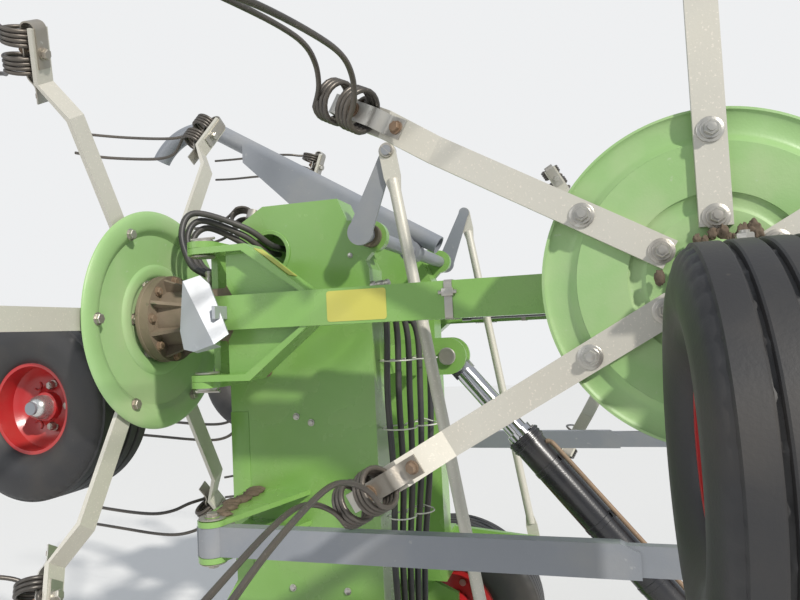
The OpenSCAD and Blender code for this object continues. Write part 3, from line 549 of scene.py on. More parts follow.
def tines(u):
    """Springs, clips and bolts on all arms of a rotor"""
    hand = -1 if UNITS[u][1] else 1
    place = unit_place(u)
    wires, clips, bolts = Shape(), Shape(), Shape()
    path = tine_path(hand)
    for turn in around(place, ARM_COUNT, UNITS[u][2]):
        wires.tube(path, WIRE_R, 8, turn)
        end = turn @ arm_end(hand)
        clips.strap(smooth_flat(CLIP, 3), 0.034, 0.003, end)
        clips.bolt(end @ moved(TINE_AT, 0, ARM_THICK + 0.003), 0.0115, 0.0085)
        bolts.tube([(TINE_AT, 0, -0.001), (TINE_AT, 0, -0.03)], 0.0062, 12, end)
        bolts.bolt(end @ moved(TINE_AT, 0, -0.022) @ DOWN, 0.011, 0.01, nut_side=0.008)
        bolts.bolt(end @ moved(-0.03, 0, -0.0033) @ DOWN, 0.0095, 0.007)
    wires.piece(f"springs_{u}", f"rotor_{u}", "spring_steel", [f"tines_{u}"], 60)
    clips.piece(f"tine_clips_{u}", f"rotor_{u}", "bolt")
    bolts.piece(f"tine_bolts_{u}", f"rotor_{u}", "rusty")


# Discs with their hubs, pressed rings and arm bolts

def disc_sheet(u):
    """Pressed sheet: flat where the arms lie, with a ring about the hub and a rolled rim"""
    place = unit_place(u)
    middle = [(0.03, 0.0025), (0.098, 0.0025), (0.1025, 0.0042), (0.109, 0.0078), (0.118, 0.0088),
        (0.127, 0.0078), (0.1335, 0.0042), (0.138, 0.0025), (0.203, 0.0025), (0.208, 0.0036),
        (0.214, 0.0085), (0.22, 0.0135), (0.227, 0.016), (0.238, 0.0172), (0.249, 0.0168), (0.257, 0.0148),
        (0.262, 0.0115), (0.2628, 0.0098)]
    path = smooth_flat(middle, 3)
    thick = 0.0021
    below, above = [], []
    for i, p in enumerate(path):
        ahead = (path[min(i + 1, len(path) - 1)] - path[max(i - 1, 0)]).normalized()
        out = Vector((-ahead.y, ahead.x)) * thick
        above.append((p.x + out.x, p.y + out.y))
        below.append((p.x - out.x, p.y - out.y))
    sheet = Shape()
    sheet.revolve(below + above[::-1], place, 144)
    hub = [(0.034, -0.026), (0.052, -0.026), (0.056, -0.022), (0.056, -0.004), (0.06, -0.0002),
        (0.06, 0.0052), (0.054, 0.0108), (0.034, 0.0108)]
    sheet.revolve(hub, place, 64)
    sheet.piece(f"disc_sheet_{u}", f"rotor_{u}", "green", [f"disc_{u}"], 30)


def rotor_bolts(u):
    """Bolts of the arms and of the hub"""
    place = unit_place(u)
    shape = Shape()
    for turn in around(place, ARM_COUNT, UNITS[u][2]):
        for r, top in ARM_BOLTS:
            shape.bolt(turn @ moved(r, 0, top), 0.0118, 0.0085)
            shape.nut_stack(turn @ moved(r, 0, -ARM_THICK) @ DOWN)
        shape.bolt(turn @ turned(30) @ moved(0.045, 0, -0.026) @ DOWN, 0.0075, 0.0055)
    shape.piece(f"rotor_bolts_{u}", f"rotor_{u}", "bolt")


# Gearboxes on top of the discs

def gearbox_trim(u):
    """Ribs, bands, cover and bolts of the gear block"""
    place = unit_place(u)
    body = BODY_OF[u]
    low, base = 0.017, 0.051
    ribs, bolts = Shape(), Shape()
    for turn in around(place, 8, 22.5):
        ribs.sheet_plate([(0.066, base - 0.001), (0.1, base - 0.001), (0.088, base + 0.03),
            (0.072, base + 0.075), (0.066, base + 0.075)], 0.008,
            turn @ turned(90, "X") @ moved(0, 0, -0.004))
        bolts.bolt(turn @ turned(22.5) @ moved(0.09, 0, base), 0.0095, 0.007)
    ribs.ring(place @ moved(0, 0, low + 0.006), 0.1, 0.1055, 0.009)
    ribs.ring(place @ moved(0, 0, base + 0.081), 0.068, 0.076, 0.012)
    top = HINGE_RISE + BLOCK_H / 2
    ribs.block((-0.047, -0.052, top - 0.001), (0.047, 0.052, top + 0.007), place, 0.003)
    for x, y in product((-0.036, 0.036), (-0.041, 0.041)):
        bolts.bolt(place @ moved(x, y, top + 0.007), 0.0085, 0.006)
    bolts.bolt(place @ moved(0, 0, top + 0.007), 0.0115, 0.008)
    for side, x, z in product((-1, 1), (-1, 1), (0.03, -0.035)):
        at = moved(x * BLOCK_H / 2, side * 0.045, HINGE_RISE + z)
        bolts.bolt(place @ at @ turned(90 * x, "Y"), 0.0085, 0.006)
    ribs.piece(f"casting_ribs_{u}", body, "cast")
    bolts.piece(f"gearbox_bolts_{u}", body, "rusty")


def drive_joint(s):
    """Sealed shaft joint on a wing hinge's axis: flange and ball on the lift frame, stub on the wing"""
    place = wing_place(SIDES[s])
    root = 0.1 - BLOCK_Y / 2
    fixed, turning = Shape(), Shape()
    inward = place @ turned(90, "X")
    outward = place @ turned(-90, "X")
    fixed.lathe([(0, root + 0.002), (0.027, root + 0.002), (0.027, root - 0.006), (0.02, root - 0.009),
        (0.013, root - 0.012), (0.013, 0.0165), (0, 0.0165)][::-1], inward, 36)
    fixed.lathe([(0, -0.0175), (0.0088, -0.0152), (0.0152, -0.0088), (0.0175, 0), (0.0152, 0.0088),
        (0.0088, 0.0152), (0, 0.0175)], inward, 36)
    turning.lathe([(0, 0.0165), (0.0128, 0.0165), (0.0128, 0.0282), (0, 0.0282)], outward, 36)
    fixed.piece(f"shaft_joint_{s}", "lift", "boot")
    turning.piece(f"shaft_boot_{s}", f"wing_{s}", "boot")


# Wheels

TREAD_RIBS, GROOVE, GAP = 5, 0.007, 0.007
TYRE_STEPS, SHOULDER_STEP, MARK_STEP = 192, 4, 12


def rib_profile(r, w, rim):
    """Outer points of the tyre from one bead over the tread to the other, and the groove marks"""
    points = [(rim, -w * 0.36), (rim + 0.006, -w * 0.4), (rim + (r - rim) * 0.18, -w * 0.455),
        (rim + (r - rim) * 0.35, -w * 0.488), (rim + (r - rim) * 0.5, -w * 0.5),
        (rim + (r - rim) * 0.66, -w * 0.492), (r * 0.9, -w * 0.468), (r * 0.935, -w * 0.455),
        (r * 0.965, -w * 0.43)]
    half = w * 0.4
    marks = set()
    edge = [-half + 2 * half * k / TREAD_RIBS for k in range(TREAD_RIBS + 1)]

    def crown(y):
        return r - 0.45 * (1 - cos(y / half * 0.3)) * r * 0.22

    for k in range(TREAD_RIBS):
        first, last = k == 0, k == TREAD_RIBS - 1
        a = edge[k] + (0 if first else GAP / 2)
        b = edge[k + 1] - (0 if last else GAP / 2)
        points.append((crown(a) - (0.004 if first else 0.0015), a))
        points += [(crown(y), y) for y in (a + 0.002, (a + b) / 2, b - 0.002)]
        points.append((crown(b) - (0.004 if last else 0.0015), b))
        if not last:
            marks.update((len(points), len(points) + 1))
            points += [(crown(b) - GROOVE, b + 0.0012), (crown(b) - GROOVE, b + GAP - 0.0012)]
    points += [(p[0], -p[1]) for p in reversed(points[:9])]
    return points, marks


def tyre_piece(name, body, place, r, w, rim, node_name):
    """Tyre with ribs, bars across its grooves and notched shoulders"""
    points, marks = rib_profile(r, w, rim)
    count = len(points)

    def reshape(rad, z, s, j):
        if j in marks and (s + (6 if j % 4 > 1 else 0)) % MARK_STEP == 0:
            return rad + GROOVE * 0.4, z
        if rad > r * 0.93 and (j < 10 or j > count - 11) and s % SHOULDER_STEP == 1:
            return rad - 0.0022, z
        return rad, z

    shape = Shape()
    inner = [(rim - 0.0005, w * 0.34), (rim - 0.0005, -w * 0.34)]
    shape.revolve(points + inner, place, TYRE_STEPS, reshape)
    shape.piece(name, body, "tyre", [node_name], 30)


def hub_parts(name, body, place, hub_r, face, nuts, pitch_r):
    """Domed cap on the hub with its nuts on the wheel's face; +Z points out of the wheel"""
    cap = Shape()
    cap.lathe([(0, face - 0.01), (hub_r, face - 0.01), (hub_r, face + 0.014), (hub_r * 0.92, face + 0.024),
        (hub_r * 0.7, face + 0.032), (hub_r * 0.38, face + 0.037), (0, face + 0.0385)], place, 40)
    cap.piece(f"cap_{name}", body, "cap")
    bolts = Shape()
    for turn in around(place, nuts):
        bolts.bolt(turn @ moved(pitch_r, 0, 0), 0.011, 0.014, nut_side=0.005)
    bolts.piece(f"nuts_{name}", body, "bolt")


def small_rim(u, place):
    """Dished rim with a drop centre, rolled edges and a hub barrel; +Z points out of the dish"""
    w, r = TYRE_W, RIM_R
    rim = Shape()
    outer = [(r - 0.004, -w * 0.36), (r + 0.0008, -w * 0.358), (r + 0.0008, -w * 0.345),
        (r - 0.003, -w * 0.33), (r - 0.004, -w * 0.2), (r - 0.016, -w * 0.15), (r - 0.016, w * 0.08),
        (r - 0.004, w * 0.14), (r - 0.003, w * 0.33), (r + 0.0008, w * 0.345), (r + 0.0008, w * 0.358),
        (r - 0.004, w * 0.36)]
    inner = [(r - 0.008, w * 0.355), (r - 0.008, w * 0.3), (r - 0.01, w * 0.14), (r - 0.021, w * 0.08),
        (r - 0.024, 0.012), (r - 0.04, -0.002), (0.06, -0.004), (0.046, 0.004), (0.036, 0.01), (0.036, 0.03),
        (0.0165, 0.03), (0.0165, -w * 0.3), (0.034, -w * 0.3), (0.034, -0.012), (0.058, -0.012),
        (r - 0.038, -0.01), (r - 0.024, -0.012), (r - 0.021, -w * 0.15), (r - 0.01, -w * 0.2),
        (r - 0.008, -w * 0.355)]
    rim.revolve(outer + inner, place, 72)
    for turn in around(place, 4, 45):
        rim.ring(turn @ moved(0.073, 0, -0.001), 0.01, 0.0135, 0.003, 0.0008, 20)
    rim.tube([(r - 0.012, 0, 0.016), (r - 0.02, 0, 0.03)], 0.0035, 8, place @ turned(20))
    rim.piece(f"small_rim_{u}", f"wheel_{u}", "rim_red", [f"rim_{u}"])


def wheels():
    """Tyres, rims, caps and nuts of all six wheels"""
    for u, (_, wing, _) in UNITS.items():
        unit = unit_place(u)
        side = -1 if wing else 1
        x, y, z = unit.col[0].xyz, unit.col[1].xyz * side, unit.col[2].xyz
        out = frame_of(x, z, y, JOINTS[f"wheel_{u}_spin"]["pos_m"])
        tyre_piece(f"small_tyre_{u}", f"wheel_{u}", out, TYRE_R, TYRE_W, RIM_R, f"tyre_{u}")
        small_rim(u, out)
        hub_parts(u, f"wheel_{u}", out, hub_r=0.03, face=0.034, nuts=4, pitch_r=0.052)
    for s, hand in SIDES.items():
        place = frame_of((1, 0, 0), (0, 0, 1), (0, hand, 0), JOINTS[f"road_wheel_{s}_spin"]["pos_m"])
        tyre_piece(f"big_tyre_{s}", f"road_wheel_{s}", place, ROAD_R, ROAD_W, ROAD_RIM, f"road_tyre_{s}")
        hub_parts(f"road_{s}", f"road_wheel_{s}", place, hub_r=0.042, face=0.03, nuts=5, pitch_r=0.09)


def wheel_bracket(u):
    """Column, channel, side plate and stub axle; the plate stands on the side that the photograph hides"""
    body = BODY_OF[u]
    side = -1 if UNITS[u][1] else 1
    place = unit_place(u) @ Matrix.Diagonal((1, side, 1, 1))
    out = -PLATE_Y - 0.012
    deck, under = -0.072, -0.084
    steel, bolts = Shape(), Shape()
    steel.lathe([(0, -0.078), (0.025, -0.078), (0.025, 0.017), (0, 0.017)], place, 40)
    steel.ring(place @ moved(0, 0, -0.006), 0.024, 0.0335, 0.024)
    steel.ring(place @ moved(0, 0, -0.066), 0.024, 0.036, 0.012)
    steel.block((-0.04, out, under), (0.06, 0.04, deck), place, 0.0015)
    for x in (-0.04, 0.052):
        steel.block((x, out + 0.01, -0.116), (x + 0.008, 0.038, -0.073), place, 0.0015)
    low, ax = -AXLE_DROP, WHEEL_LEAD
    outline = [(-0.04, deck), (0.06, deck), (0.11, -0.12), (ax + 0.03, low + 0.05), (ax + 0.042, low + 0.02)]
    outline += [(ax + x, low + y) for x, y in (polar(0.042, -18 * k) for k in range(9))]
    outline += [(ax - 0.06, low - 0.004), (-0.04, -0.15)]
    steel.sheet_plate(outline, 0.012, place @ moved(0, out + 0.012, 0) @ turned(90, "X"))
    steel.sheet_plate([(0.0, under), (0.05, under), (0.05, -0.1), (0.0, -0.18), (-0.012, -0.18),
        (-0.012, under)], 0.008, place @ moved(-0.004, out + 0.03, 0) @ turned(90, "X"))
    stub = place @ frame_of((1, 0, 0), (0, 0, -1), (0, 1, 0), (ax, out, low))
    steel.lathe([(0, 0), (0.036, 0), (0.036, 0.016), (0.026, 0.022), (0.016, 0.03), (0.016, 0.205),
        (0, 0.205)], stub, 40)
    for x, y in product((-0.022, 0.042), (0.028, out + 0.024)):
        bolts.bolt(place @ moved(x, y, deck), 0.0105, 0.008)
    bolts.bolt(place @ moved(-0.04, -0.02, -0.096) @ turned(-90, "Y"), 0.013, 0.012, nut_side=0.006)
    bolts.bolt(place @ moved(ax, out, low) @ turned(90, "X"), 0.016, 0.012, nut_side=0.005)
    steel.piece(f"wheel_bracket_{u}", body, "grey_paint", [f"wheel_arm_{u}"])
    bolts.piece(f"wheel_bolts_{u}", body, "bolt")


def rotor_mud(u, seed):
    """Earth that has dried about the hub and on the arms' roots"""
    place = unit_place(u)
    mud = Shape()
    rng = random.Random(seed)
    for k in range(34):
        angle = rng.uniform(0, 360) if k > 22 else rng.gauss(145, 24)
        r = rng.uniform(0.052, 0.086)
        size = rng.uniform(0.0035, 0.0095)
        mud.lump((*polar(r, angle), -0.018), (size * 1.4, size, size * 0.8), seed + k, place)
    mud.piece(f"mud_{u}", f"rotor_{u}", "mud", angle=80)


# Wings

def wing_trim(s):
    """Bosses, sign plates, hose clamp and bolts of a wing"""
    hand = SIDES[s]
    place = wing_place(hand)
    body = f"wing_{s}"
    half = BEAM_W / 2
    bolts, steel, plates, band = Shape(), Shape(), Shape(), Shape()
    for z in (-1, 1):
        head = place if z > 0 else place @ turned(180, "Y")
        low = LUG_Z + LUG_T / 2
        bolts.ring(head @ moved(0, 0, low - LUG_T - 0.003), 0.0165, 0.027, 0.005)
        steel.tube([(0, 0.064, low - LUG_T), (0, 0.122, low - LUG_T)], 0.004, 8, head)
    end = BEAM_REACH - BLOCK_Y / 2
    for z, x in product((-1, 1), (-1, 1)):
        at = place @ moved(x * 0.026, end - 0.012, z * half)
        bolts.bolt(at @ STANDING[z], 0.0085, 0.006)
    low, high = (-half - 0.01, end - 0.012, -half - 0.012), (half + 0.01, end + 0.001, half + 0.012)
    steel.block(low, high, place, 0.003)
    sign = place @ moved(-half, SIGN_Y, 0) @ turned(-90, "Y")
    plates.sheet_plate(rounded(SIGN_TALL, SIGN_WIDE, 0.006), PLATE_T, sign)
    lug_top, from_y, to_y, plate_y = LUG_Z + LUG_T / 2, 0.124, 0.264, 0.178
    slope = atan2(lug_top - half, to_y - from_y)
    top = place @ moved(0, plate_y, lug_top - (plate_y - from_y) * tan(slope) + 0.0004)
    plate = [(-0.02, -0.052), (0.02, -0.052), (0.02, 0.052), (-0.02, 0.052)]
    plates.sheet_plate(plate, PLATE_T, top @ turned(-degrees(slope), "X"))
    loop = rounded(BEAM_W + 0.0024, BEAM_W + 0.0024, 0.006)
    loop.append(loop[0])
    at = place @ moved(0, BAND_Y, 0)
    band.strap(loop, 0.016, 0.0016, at)
    band.block((-half - 0.01, -0.012, 0.006), (-half, 0.012, 0.022), at)
    band.tube([(-half - 0.006, -0.018, 0.014), (-half - 0.006, 0.018, 0.014)], 0.004, 10, at)
    eye = place @ moved(0, 0, -GUARD_DROP)
    for z in (-1, 1):
        bolts.ring(eye @ moved(0, 0, z * (GUARD_H / 2 + 0.0155)), 0.0162, 0.03, 0.004)
    steel.piece(f"beam_trim_{s}", body, "frame_green")
    bolts.piece(f"wing_bolts_{s}", body, "bolt")
    plates.piece(f"plates_{s}", body, "yellow")
    band.piece(f"clamp_band_{s}", body, "bolt")


def joint_cover(s):
    """Bright folded sheet over the outer side of the wing hinge, on its tab"""
    place = wing_place(SIDES[s])
    x, fold_x, edge_x = -0.066, -0.09, -0.07
    corners = {"top": (x, 0.032, 0.082), "fold_top": (fold_x, 0.006, 0.07),
        "fold_low": (fold_x, 0.076, -0.066), "right": (x, 0.054, 0.062), "right_low": (x, 0.096, -0.046),
        "left": (edge_x, -0.018, -0.034), "left_low": (edge_x - 0.006, -0.006, -0.074),
        "low": (fold_x + 0.006, 0.024, -0.08), "lip_low": (fold_x + 0.02, 0.022, -0.083),
        "lip_right": (fold_x + 0.022, 0.078, -0.072)}
    faces = [("top", "fold_top", "fold_low", "right_low", "right"),
        ("fold_top", "left", "left_low", "low", "fold_low"), ("low", "lip_low", "lip_right", "fold_low")]
    names = list(corners)
    points = [Vector(corners[n]) for n in names]
    back = [p + Vector((0.0035, 0, 0)) for p in points]
    count = len(points)
    loops = [[names.index(n) for n in f] for f in faces]
    edges = [(a, b) for f in loops for a, b in zip(f, f[1:] + f[:1])]
    walls = [[b, a, a + count, b + count] for a, b in edges if (b, a) not in edges]
    sheet = Shape()
    sheet.add(points + back, loops + [[i + count for i in f][::-1] for f in loops] + walls, place)
    sheet.block((-0.086, 0.07, -0.014), (-BEAM_W / 2, 0.078, 0.014), place, 0.0015)
    sheet.bolt(place @ moved(-0.066, 0.05, 0.0) @ turned(-90, "Y"), 0.009, 0.006)
    sheet.piece(f"joint_cover_{s}", f"wing_{s}", "shield", [f"joint_shield_{s}"], 12)


# Hoses along the routes of the solids

HOSE_R = 0.008
HOSE_HOLE = Vector((HX + 0.02, 0.32, ROTOR_Z + 0.165))
NOSE = HX + POST_FRONT
TIE_DROPS = (0.13, 0.3, 0.52)


def hinge_route(k):
    """Points of hose k over a wing hinge, from the hole in the post to its end on the gear block"""
    end_y, end_z = 0.19 + 0.024 * k, ROTOR_Z + BLOCK_H / 2 - HOSE_HOLE.z
    steps = [(-0.02, 0.018, 0, 0, -0.012, 0.014), (-0.02, 0.018, 0.08, 0, -0.01, 0.014),
        (-0.048, 0.01, 0.125, 0.008, 0.026, 0.017), (-0.126, -0.004, 0.15, 0.022, 0.066, 0.016),
        (-0.154, 0, 0.176, 0.024, 0.032, 0.006), (-0.122, 0, 0.188, 0.024, -0.036, 0)]
    path = [(x + dx * k, y + dy * k, z + dz * k) for x, dx, y, dy, z, dz in steps]
    return [HOSE_HOLE + Vector(p) for p in path + [(-0.072, end_y, -0.07), (-0.07, end_y, end_z)]]


def post_route(k):
    """Points of hose k down the front edge of a post"""
    low = PIVOT.z - ROTOR_Z
    steps = [(0, 0, 0.012, 0.018, 0.06, -0.016), (0.032, 0.008, 0.012, 0.022, 0.052, -0.02),
        (0.034, 0.017, 0.016, 0.032, -0.06, 0), (0.03, 0.019, 0.01, 0.034, -0.22, 0),
        (0.034, 0.016, 0.018, 0.028, -0.42, 0), (0.028, 0.013, 0.014, 0.024, -0.62, 0),
        (0.03, 0.009, 0.014, 0.02, low + 0.07, -0.014), (0, 0, 0.012, 0.018, low + 0.052, -0.014)]
    return [Vector((NOSE + x + dx * k, POST_Y - y - dy * k, ROTOR_Z + z + dz * k)) for x, dx, y, dy, z,
        dz in steps]


def fitting(shape, place):
    """Crimped sleeve and nut on a hose's end; +Z runs along the hose from its seat"""
    shape.lathe([(0, 0), (0.0125, 0), (0.0125, 0.01), (0.0098, 0.012), (0.0098, 0.016), (0.0112, 0.018),
        (0.0112, 0.03), (0.0102, 0.033), (0.0102, 0.037), (0.0112, 0.039), (0.0112, 0.046), (0.0088, 0.049),
        (0, 0.049)], place, 24)


def hoses():
    """Hoses, their end fittings and the ties round the post bundle"""
    rubber, ends, ties = Shape(), Shape(), Shape()
    for hand in SIDES.values():
        side = side_place(hand)
        for k in range(3):
            route = hinge_route(k)
            rubber.tube(smooth_path(route, 8), HOSE_R, 14, side)
            fitting(ends, side @ facing(route[-1], (0, 0, 1)))
    right = side_place(-1)
    runs = [smooth_path(post_route(k), 8) for k in range(5)]
    for run in runs:
        rubber.tube(run, HOSE_R, 14, right)
        fitting(ends, right @ facing(run[0], (1, 0, 0.1)))
        fitting(ends, right @ facing(run[-1], (1, 0, 0.1)))
    for drop in TIE_DROPS:
        z = ROTOR_Z - drop
        hold = [min(run[8:-8], key=lambda p: abs(p.z - z)) for run in runs]
        centre = sum(hold, Vector()) / len(hold)
        loop = []
        for k in range(28):
            way = Vector((*polar(1, 360 * k / 28), 0))
            reach = max((p - centre).dot(way) for p in hold) + HOSE_R + 0.0012
            loop.append(Vector((centre.x, centre.y, z)) + way * reach)
        ties.tube(loop + loop[:1], 0.0018, 6, right)
        tail = loop[20]
        strip = [tail, tail + Vector((0.03, 0.01, 0.012)), tail + Vector((0.06, 0.012, 0.004))]
        ties.tube(strip, 0.0014, 6, right)
    rubber.piece("hose_lines", "lift", "hose", ["hoses"], 60)
    ends.piece("hose_ends", "lift", "bolt")
    ties.piece("hose_ties", "lift", "tie")


# Lift frame

def lift_trim():
    """Rings, pins, gussets, straps and dried earth of the lift frame"""
    steel, bolts, rusty, green = Shape(), Shape(), Shape(), Shape()
    mud, dark = Shape(), Shape()
    for hand in SIDES.values():
        side = side_place(hand)
        face = side @ frame_of((1, 0, 0), (0, 0, -1), (0, 1, 0), (0, POST_Y, 0))
        green.ring(side @ beside(HOSE_HOLE, POST_Y + 0.002), 0.05, 0.06, 0.004)
        rusty.bolt(face @ moved(HX - 0.003, -(ROTOR_Z - 0.143), 0), 0.0145, 0.024, nut_side=0.01)
        for x, z in ((0.119, -0.28), (0.078, -0.264), (0.2, -0.7), (0.05, -0.7)):
            bolts.bolt(face @ moved(HX + x, -(ROTOR_Z + z), 0), 0.0075, 0.004)
        bolts.bolt(face @ moved(HX + 0.246, -(ROTOR_Z + 0.141), 0), 0.0055, 0.003)
        middle = side @ moved(HX, POST_Y, ROTOR_Z)
        for x in (-0.052, 0.052):
            green.block((x - 0.003, -0.001, -0.056), (x + 0.003, 0.06, 0.056), middle, 0.001)
        green.block((-0.056, -0.001, 0.041), (0.056, 0.05, 0.047), middle, 0.001)
        green.block((HX - 0.112, POST_Y, PIVOT.z + 0.2), (HX - 0.06, POST_Y + 0.0015, ROTOR_Z - 0.25), side,
            0.0005)
        pivot = side @ beside(PIVOT, POST_Y + 0.035)
        steel.lathe([(0, 0), (0.04, 0), (0.04, 0.006), (0.03, 0.009), (0.026, 0.013), (0, 0.013)], pivot, 32)
        bolts.bolt(pivot @ moved(0, 0, 0.012), 0.011, 0.008)
        shaft = side @ beside(CRANK, POST_Y + 0.016)
        dark.ring(shaft, CRANK_R, CRANK_R + 0.009, 0.028)
        dark.block((-0.006, -0.044, -0.014), (0.006, -0.026, 0.014), shaft)
        bolts.bolt(shaft @ moved(0.006, -0.037, 0) @ turned(90, "Y"), 0.008, 0.006)
        tip = side @ beside(CRANK_TIP, CRANK_Y + 0.0085)
        bolts.ring(tip @ moved(0, 0, 0.004), 0.0122, 0.018, 0.003)
        bolts.tube([(0, -0.016, 0.0075), (0, 0.016, 0.0075)], 0.0022, 8, tip)
        foot = side @ beside(STAY_FOOT, CRANK_Y + 0.0125)
        bolts.ring(foot, 0.0122, 0.02, 0.003)
        lug = side @ moved(HX, HINGE.y, ROTOR_Z - GUARD_DROP)
        for z in (-1, 1):
            at = lug @ moved(0, 0, z * (GUARD_H / 2 + 0.019))
            bolts.bolt(at @ STANDING[z], 0.013, 0.006)
        rng = random.Random(5)
        for k in range(10):
            y = POST_Y + 0.02 + 0.026 * k
            size = rng.uniform(0.01, 0.018)
            x = HX - 0.04 + 0.005 * k + rng.uniform(-0.012, 0.012)
            z = ROTOR_Z - GUARD_DROP + GUARD_H / 2 + 0.0165
            mud.lump((x, y, z), (size * 1.4, size * 1.3, size * 0.5), 30 + k, side, 2)
    hinge_trim(bolts)
    steel.piece("pivot_caps", "chassis", "rusty", slot="cast")
    bolts.piece("lift_bolts", "lift", "bolt")
    rusty.piece("post_pins", "lift", "rusty", slot="cast")
    green.piece("post_plates", "lift", "frame_green")
    mud.piece("lug_mud", "lift", "mud", angle=80)
    dark.piece("shaft_straps", "lift", "cast")


def hinge_trim(bolts):
    """Heads and cross pins of the wing hinge pins"""
    high = LUG_Z + LUG_T / 2 + LUG_T + 0.0006
    for hand in SIDES.values():
        place = wing_place(hand)
        for z in (-1, 1):
            head = place @ STANDING[z]
            bolts.lathe([(0, high), (0.0245, high), (0.0245, high + 0.004), (0.022, high + 0.0065),
                (0, high + 0.0065)], head, 32)
            bolts.tube([(0, -0.03, high + 0.009), (0, 0.03, high + 0.009)], 0.003, 8, head)


# Rams

def ram_trim():
    """Gland, feed pipe, clips and pin heads of the lift ram"""
    axis = (LIFT_EYE - LIFT_ANCHOR).normalized()
    place = frame_of(axis, Vector((0, -1, 0)).cross(axis) * -1, Vector((0, -1, 0)), LIFT_ANCHOR)
    steel, pipe, dark = Shape(), Shape(), Shape()
    gland = place @ moved(BARREL_L, 0, 0) @ turned(90, "Y")
    for z, r in ((-0.006, 0.0515), (-0.016, 0.0505), (-0.026, 0.0515)):
        dark.ring(gland @ moved(0, 0, z), 0.047, r, 0.007)
    for turn in around(gland, 6):
        dark.bolt(turn @ moved(0.0435, 0, 0), 0.0035, 0.002)
    run = [(0.06, 0.046, 0.018), (0.085, 0.054, 0.022), (0.12, 0.056, 0.022), (0.4, 0.056, 0.022),
        (0.58, 0.056, 0.022), (0.61, 0.052, 0.018), (0.618, 0.044, 0.016)]
    pipe.tube(smooth_path(run, 6), 0.0065, 12, place)
    for x in (0.16, 0.36, 0.56):
        steel.ring(place @ moved(x, 0, 0) @ turned(90, "Y"), 0.0455, 0.0475, 0.018)
        steel.block((x - 0.01, 0.044, 0.014), (x + 0.01, 0.05, 0.03), place)
    steel.bolt(place @ moved(0.06, 0.044, 0.018) @ turned(-90, "X"), 0.01, 0.012)
    dark.piece("ram_gland", "lift_barrel_body", "black")
    pipe.piece("ram_pipe", "lift_barrel_body", "rusty", slot="black")
    steel.piece("ram_clips", "lift_barrel_body", "black")
    eyes, low = Shape(), Shape()
    for z in (-1, 1):
        eyes.lathe([(0, 0), (0.0255, 0), (0.0255, 0.005), (0.0235, 0.007), (0.018, 0.0072), (0.018, 0.0058),
            (0, 0.0058)], beside(LIFT_EYE, z * PIN_Y, z))
        low.lathe([(0, 0), (0.0245, 0), (0.0245, 0.004), (0.022, 0.006), (0, 0.006)],
            beside(LIFT_ANCHOR, z * PIN_Y, z))
    eyes.piece("ram_pin_heads", "lift", "bolt")
    low.piece("ram_foot_heads", "chassis", "bolt")


# Chassis

def chassis_trim():
    """Drive box, shaft bell, hitch ring, gussets and axle clamps"""
    bolts, steel, plastic, dark, green = Shape(), Shape(), Shape(), Shape(), Shape()
    box_x, axis = HX + 1.4, BAR_TOP + 0.09
    box = moved(box_x, 0, BAR_TOP)
    for x, y in product((-0.07, 0, 0.07), (-0.08, 0.08)):
        steel.block((x - 0.005, y - 0.004, 0.012), (x + 0.005, y + 0.004, 0.15), box, 0.0015)
    steel.block((-0.088, -0.062, 0.169), (0.088, 0.062, 0.178), box, 0.003)
    for x, y in product((-0.072, 0, 0.072), (-0.048, 0.048)):
        bolts.bolt(box @ moved(x, y, 0.178), 0.0085, 0.006)
    bolts.bolt(box @ moved(0.036, 0, 0.178), 0.012, 0.01)
    for x, y in product((-0.09, 0.09), (-1, 1)):
        steel.block((x - 0.016, y * 0.06 - 0.022, -0.001), (x + 0.016, y * 0.06 + 0.022, 0.01), box)
        bolts.bolt(box @ moved(x, y * 0.07, 0.01), 0.009, 0.007)
    for turn in around(facing((box_x + 0.148, 0, axis), AHEAD), 6):
        bolts.bolt(turn @ moved(0.052, 0, 0), 0.0065, 0.005)
    stub = HITCH_X - 0.62
    bell = facing((stub - 0.1, 0, axis), AHEAD)
    plastic.revolve([(0.0425, 0), (0.047, 0), (0.05, 0.03), (0.056, 0.06), (0.064, 0.098), (0.068, 0.1),
        (0.068, 0.106), (0.06, 0.106), (0.052, 0.064), (0.046, 0.034)], bell, 40)
    # Six dark strips just proud of the shaft stand in for its spline grooves: painted groove shade
    for turn in around(facing((stub, 0, axis), AHEAD), 6):
        dark.block((-0.0024, 0.0172, 0.018), (0.0024, 0.0177, 0.073), turn, 0.0003)
    eye = moved(HITCH_X - 0.06, 0, BAR_Z)
    for z in (-1, 1):
        steel.ring(eye @ moved(0, 0, z * 0.0225), 0.0252, 0.036, 0.003)
    for x, y in product((-0.15, -0.105), (-1, 1)):
        bolts.bolt(facing((HITCH_X + x, y * 0.03, BAR_Z), (0, y, 0)), 0.01, 0.007)
    green.block((HITCH_X - 0.2, -0.057, BAR_Z - 0.057), (HITCH_X - 0.158, 0.057, BAR_Z + 0.057), None, 0.003)
    for y in (-1, 1):
        corner = [(0.054, y * 0.054), (0.054, y * 0.24), (0.24, y * 0.054)]
        green.sheet_plate(corner, 0.008, moved(AXLE_X, 0, BAR_Z - 0.055))
    for y in (-0.3, 0.3):
        clamp = moved(AXLE_X, y, ROAD_R)
        for x in (-0.062, 0.062):
            bolts.tube([(x, 0, -0.06), (x, 0, 0.066)], 0.007, 10, clamp)
            bolts.bolt(clamp @ moved(x, 0, 0.064), 0.012, 0.01)
        for z, thick in ((-0.066, 0.01), (0.056, 0.008)):
            steel.block((-0.078, -0.024, z), (0.078, 0.024, z + thick), clamp)
    bolts.piece("chassis_bolts", "chassis", "bolt")
    steel.piece("chassis_castings", "chassis", "cast")
    plastic.piece("shaft_bell", "chassis", "plastic")
    dark.piece("spline_grooves", "chassis", "groove")
    green.piece("chassis_plates", "chassis", "frame_green")


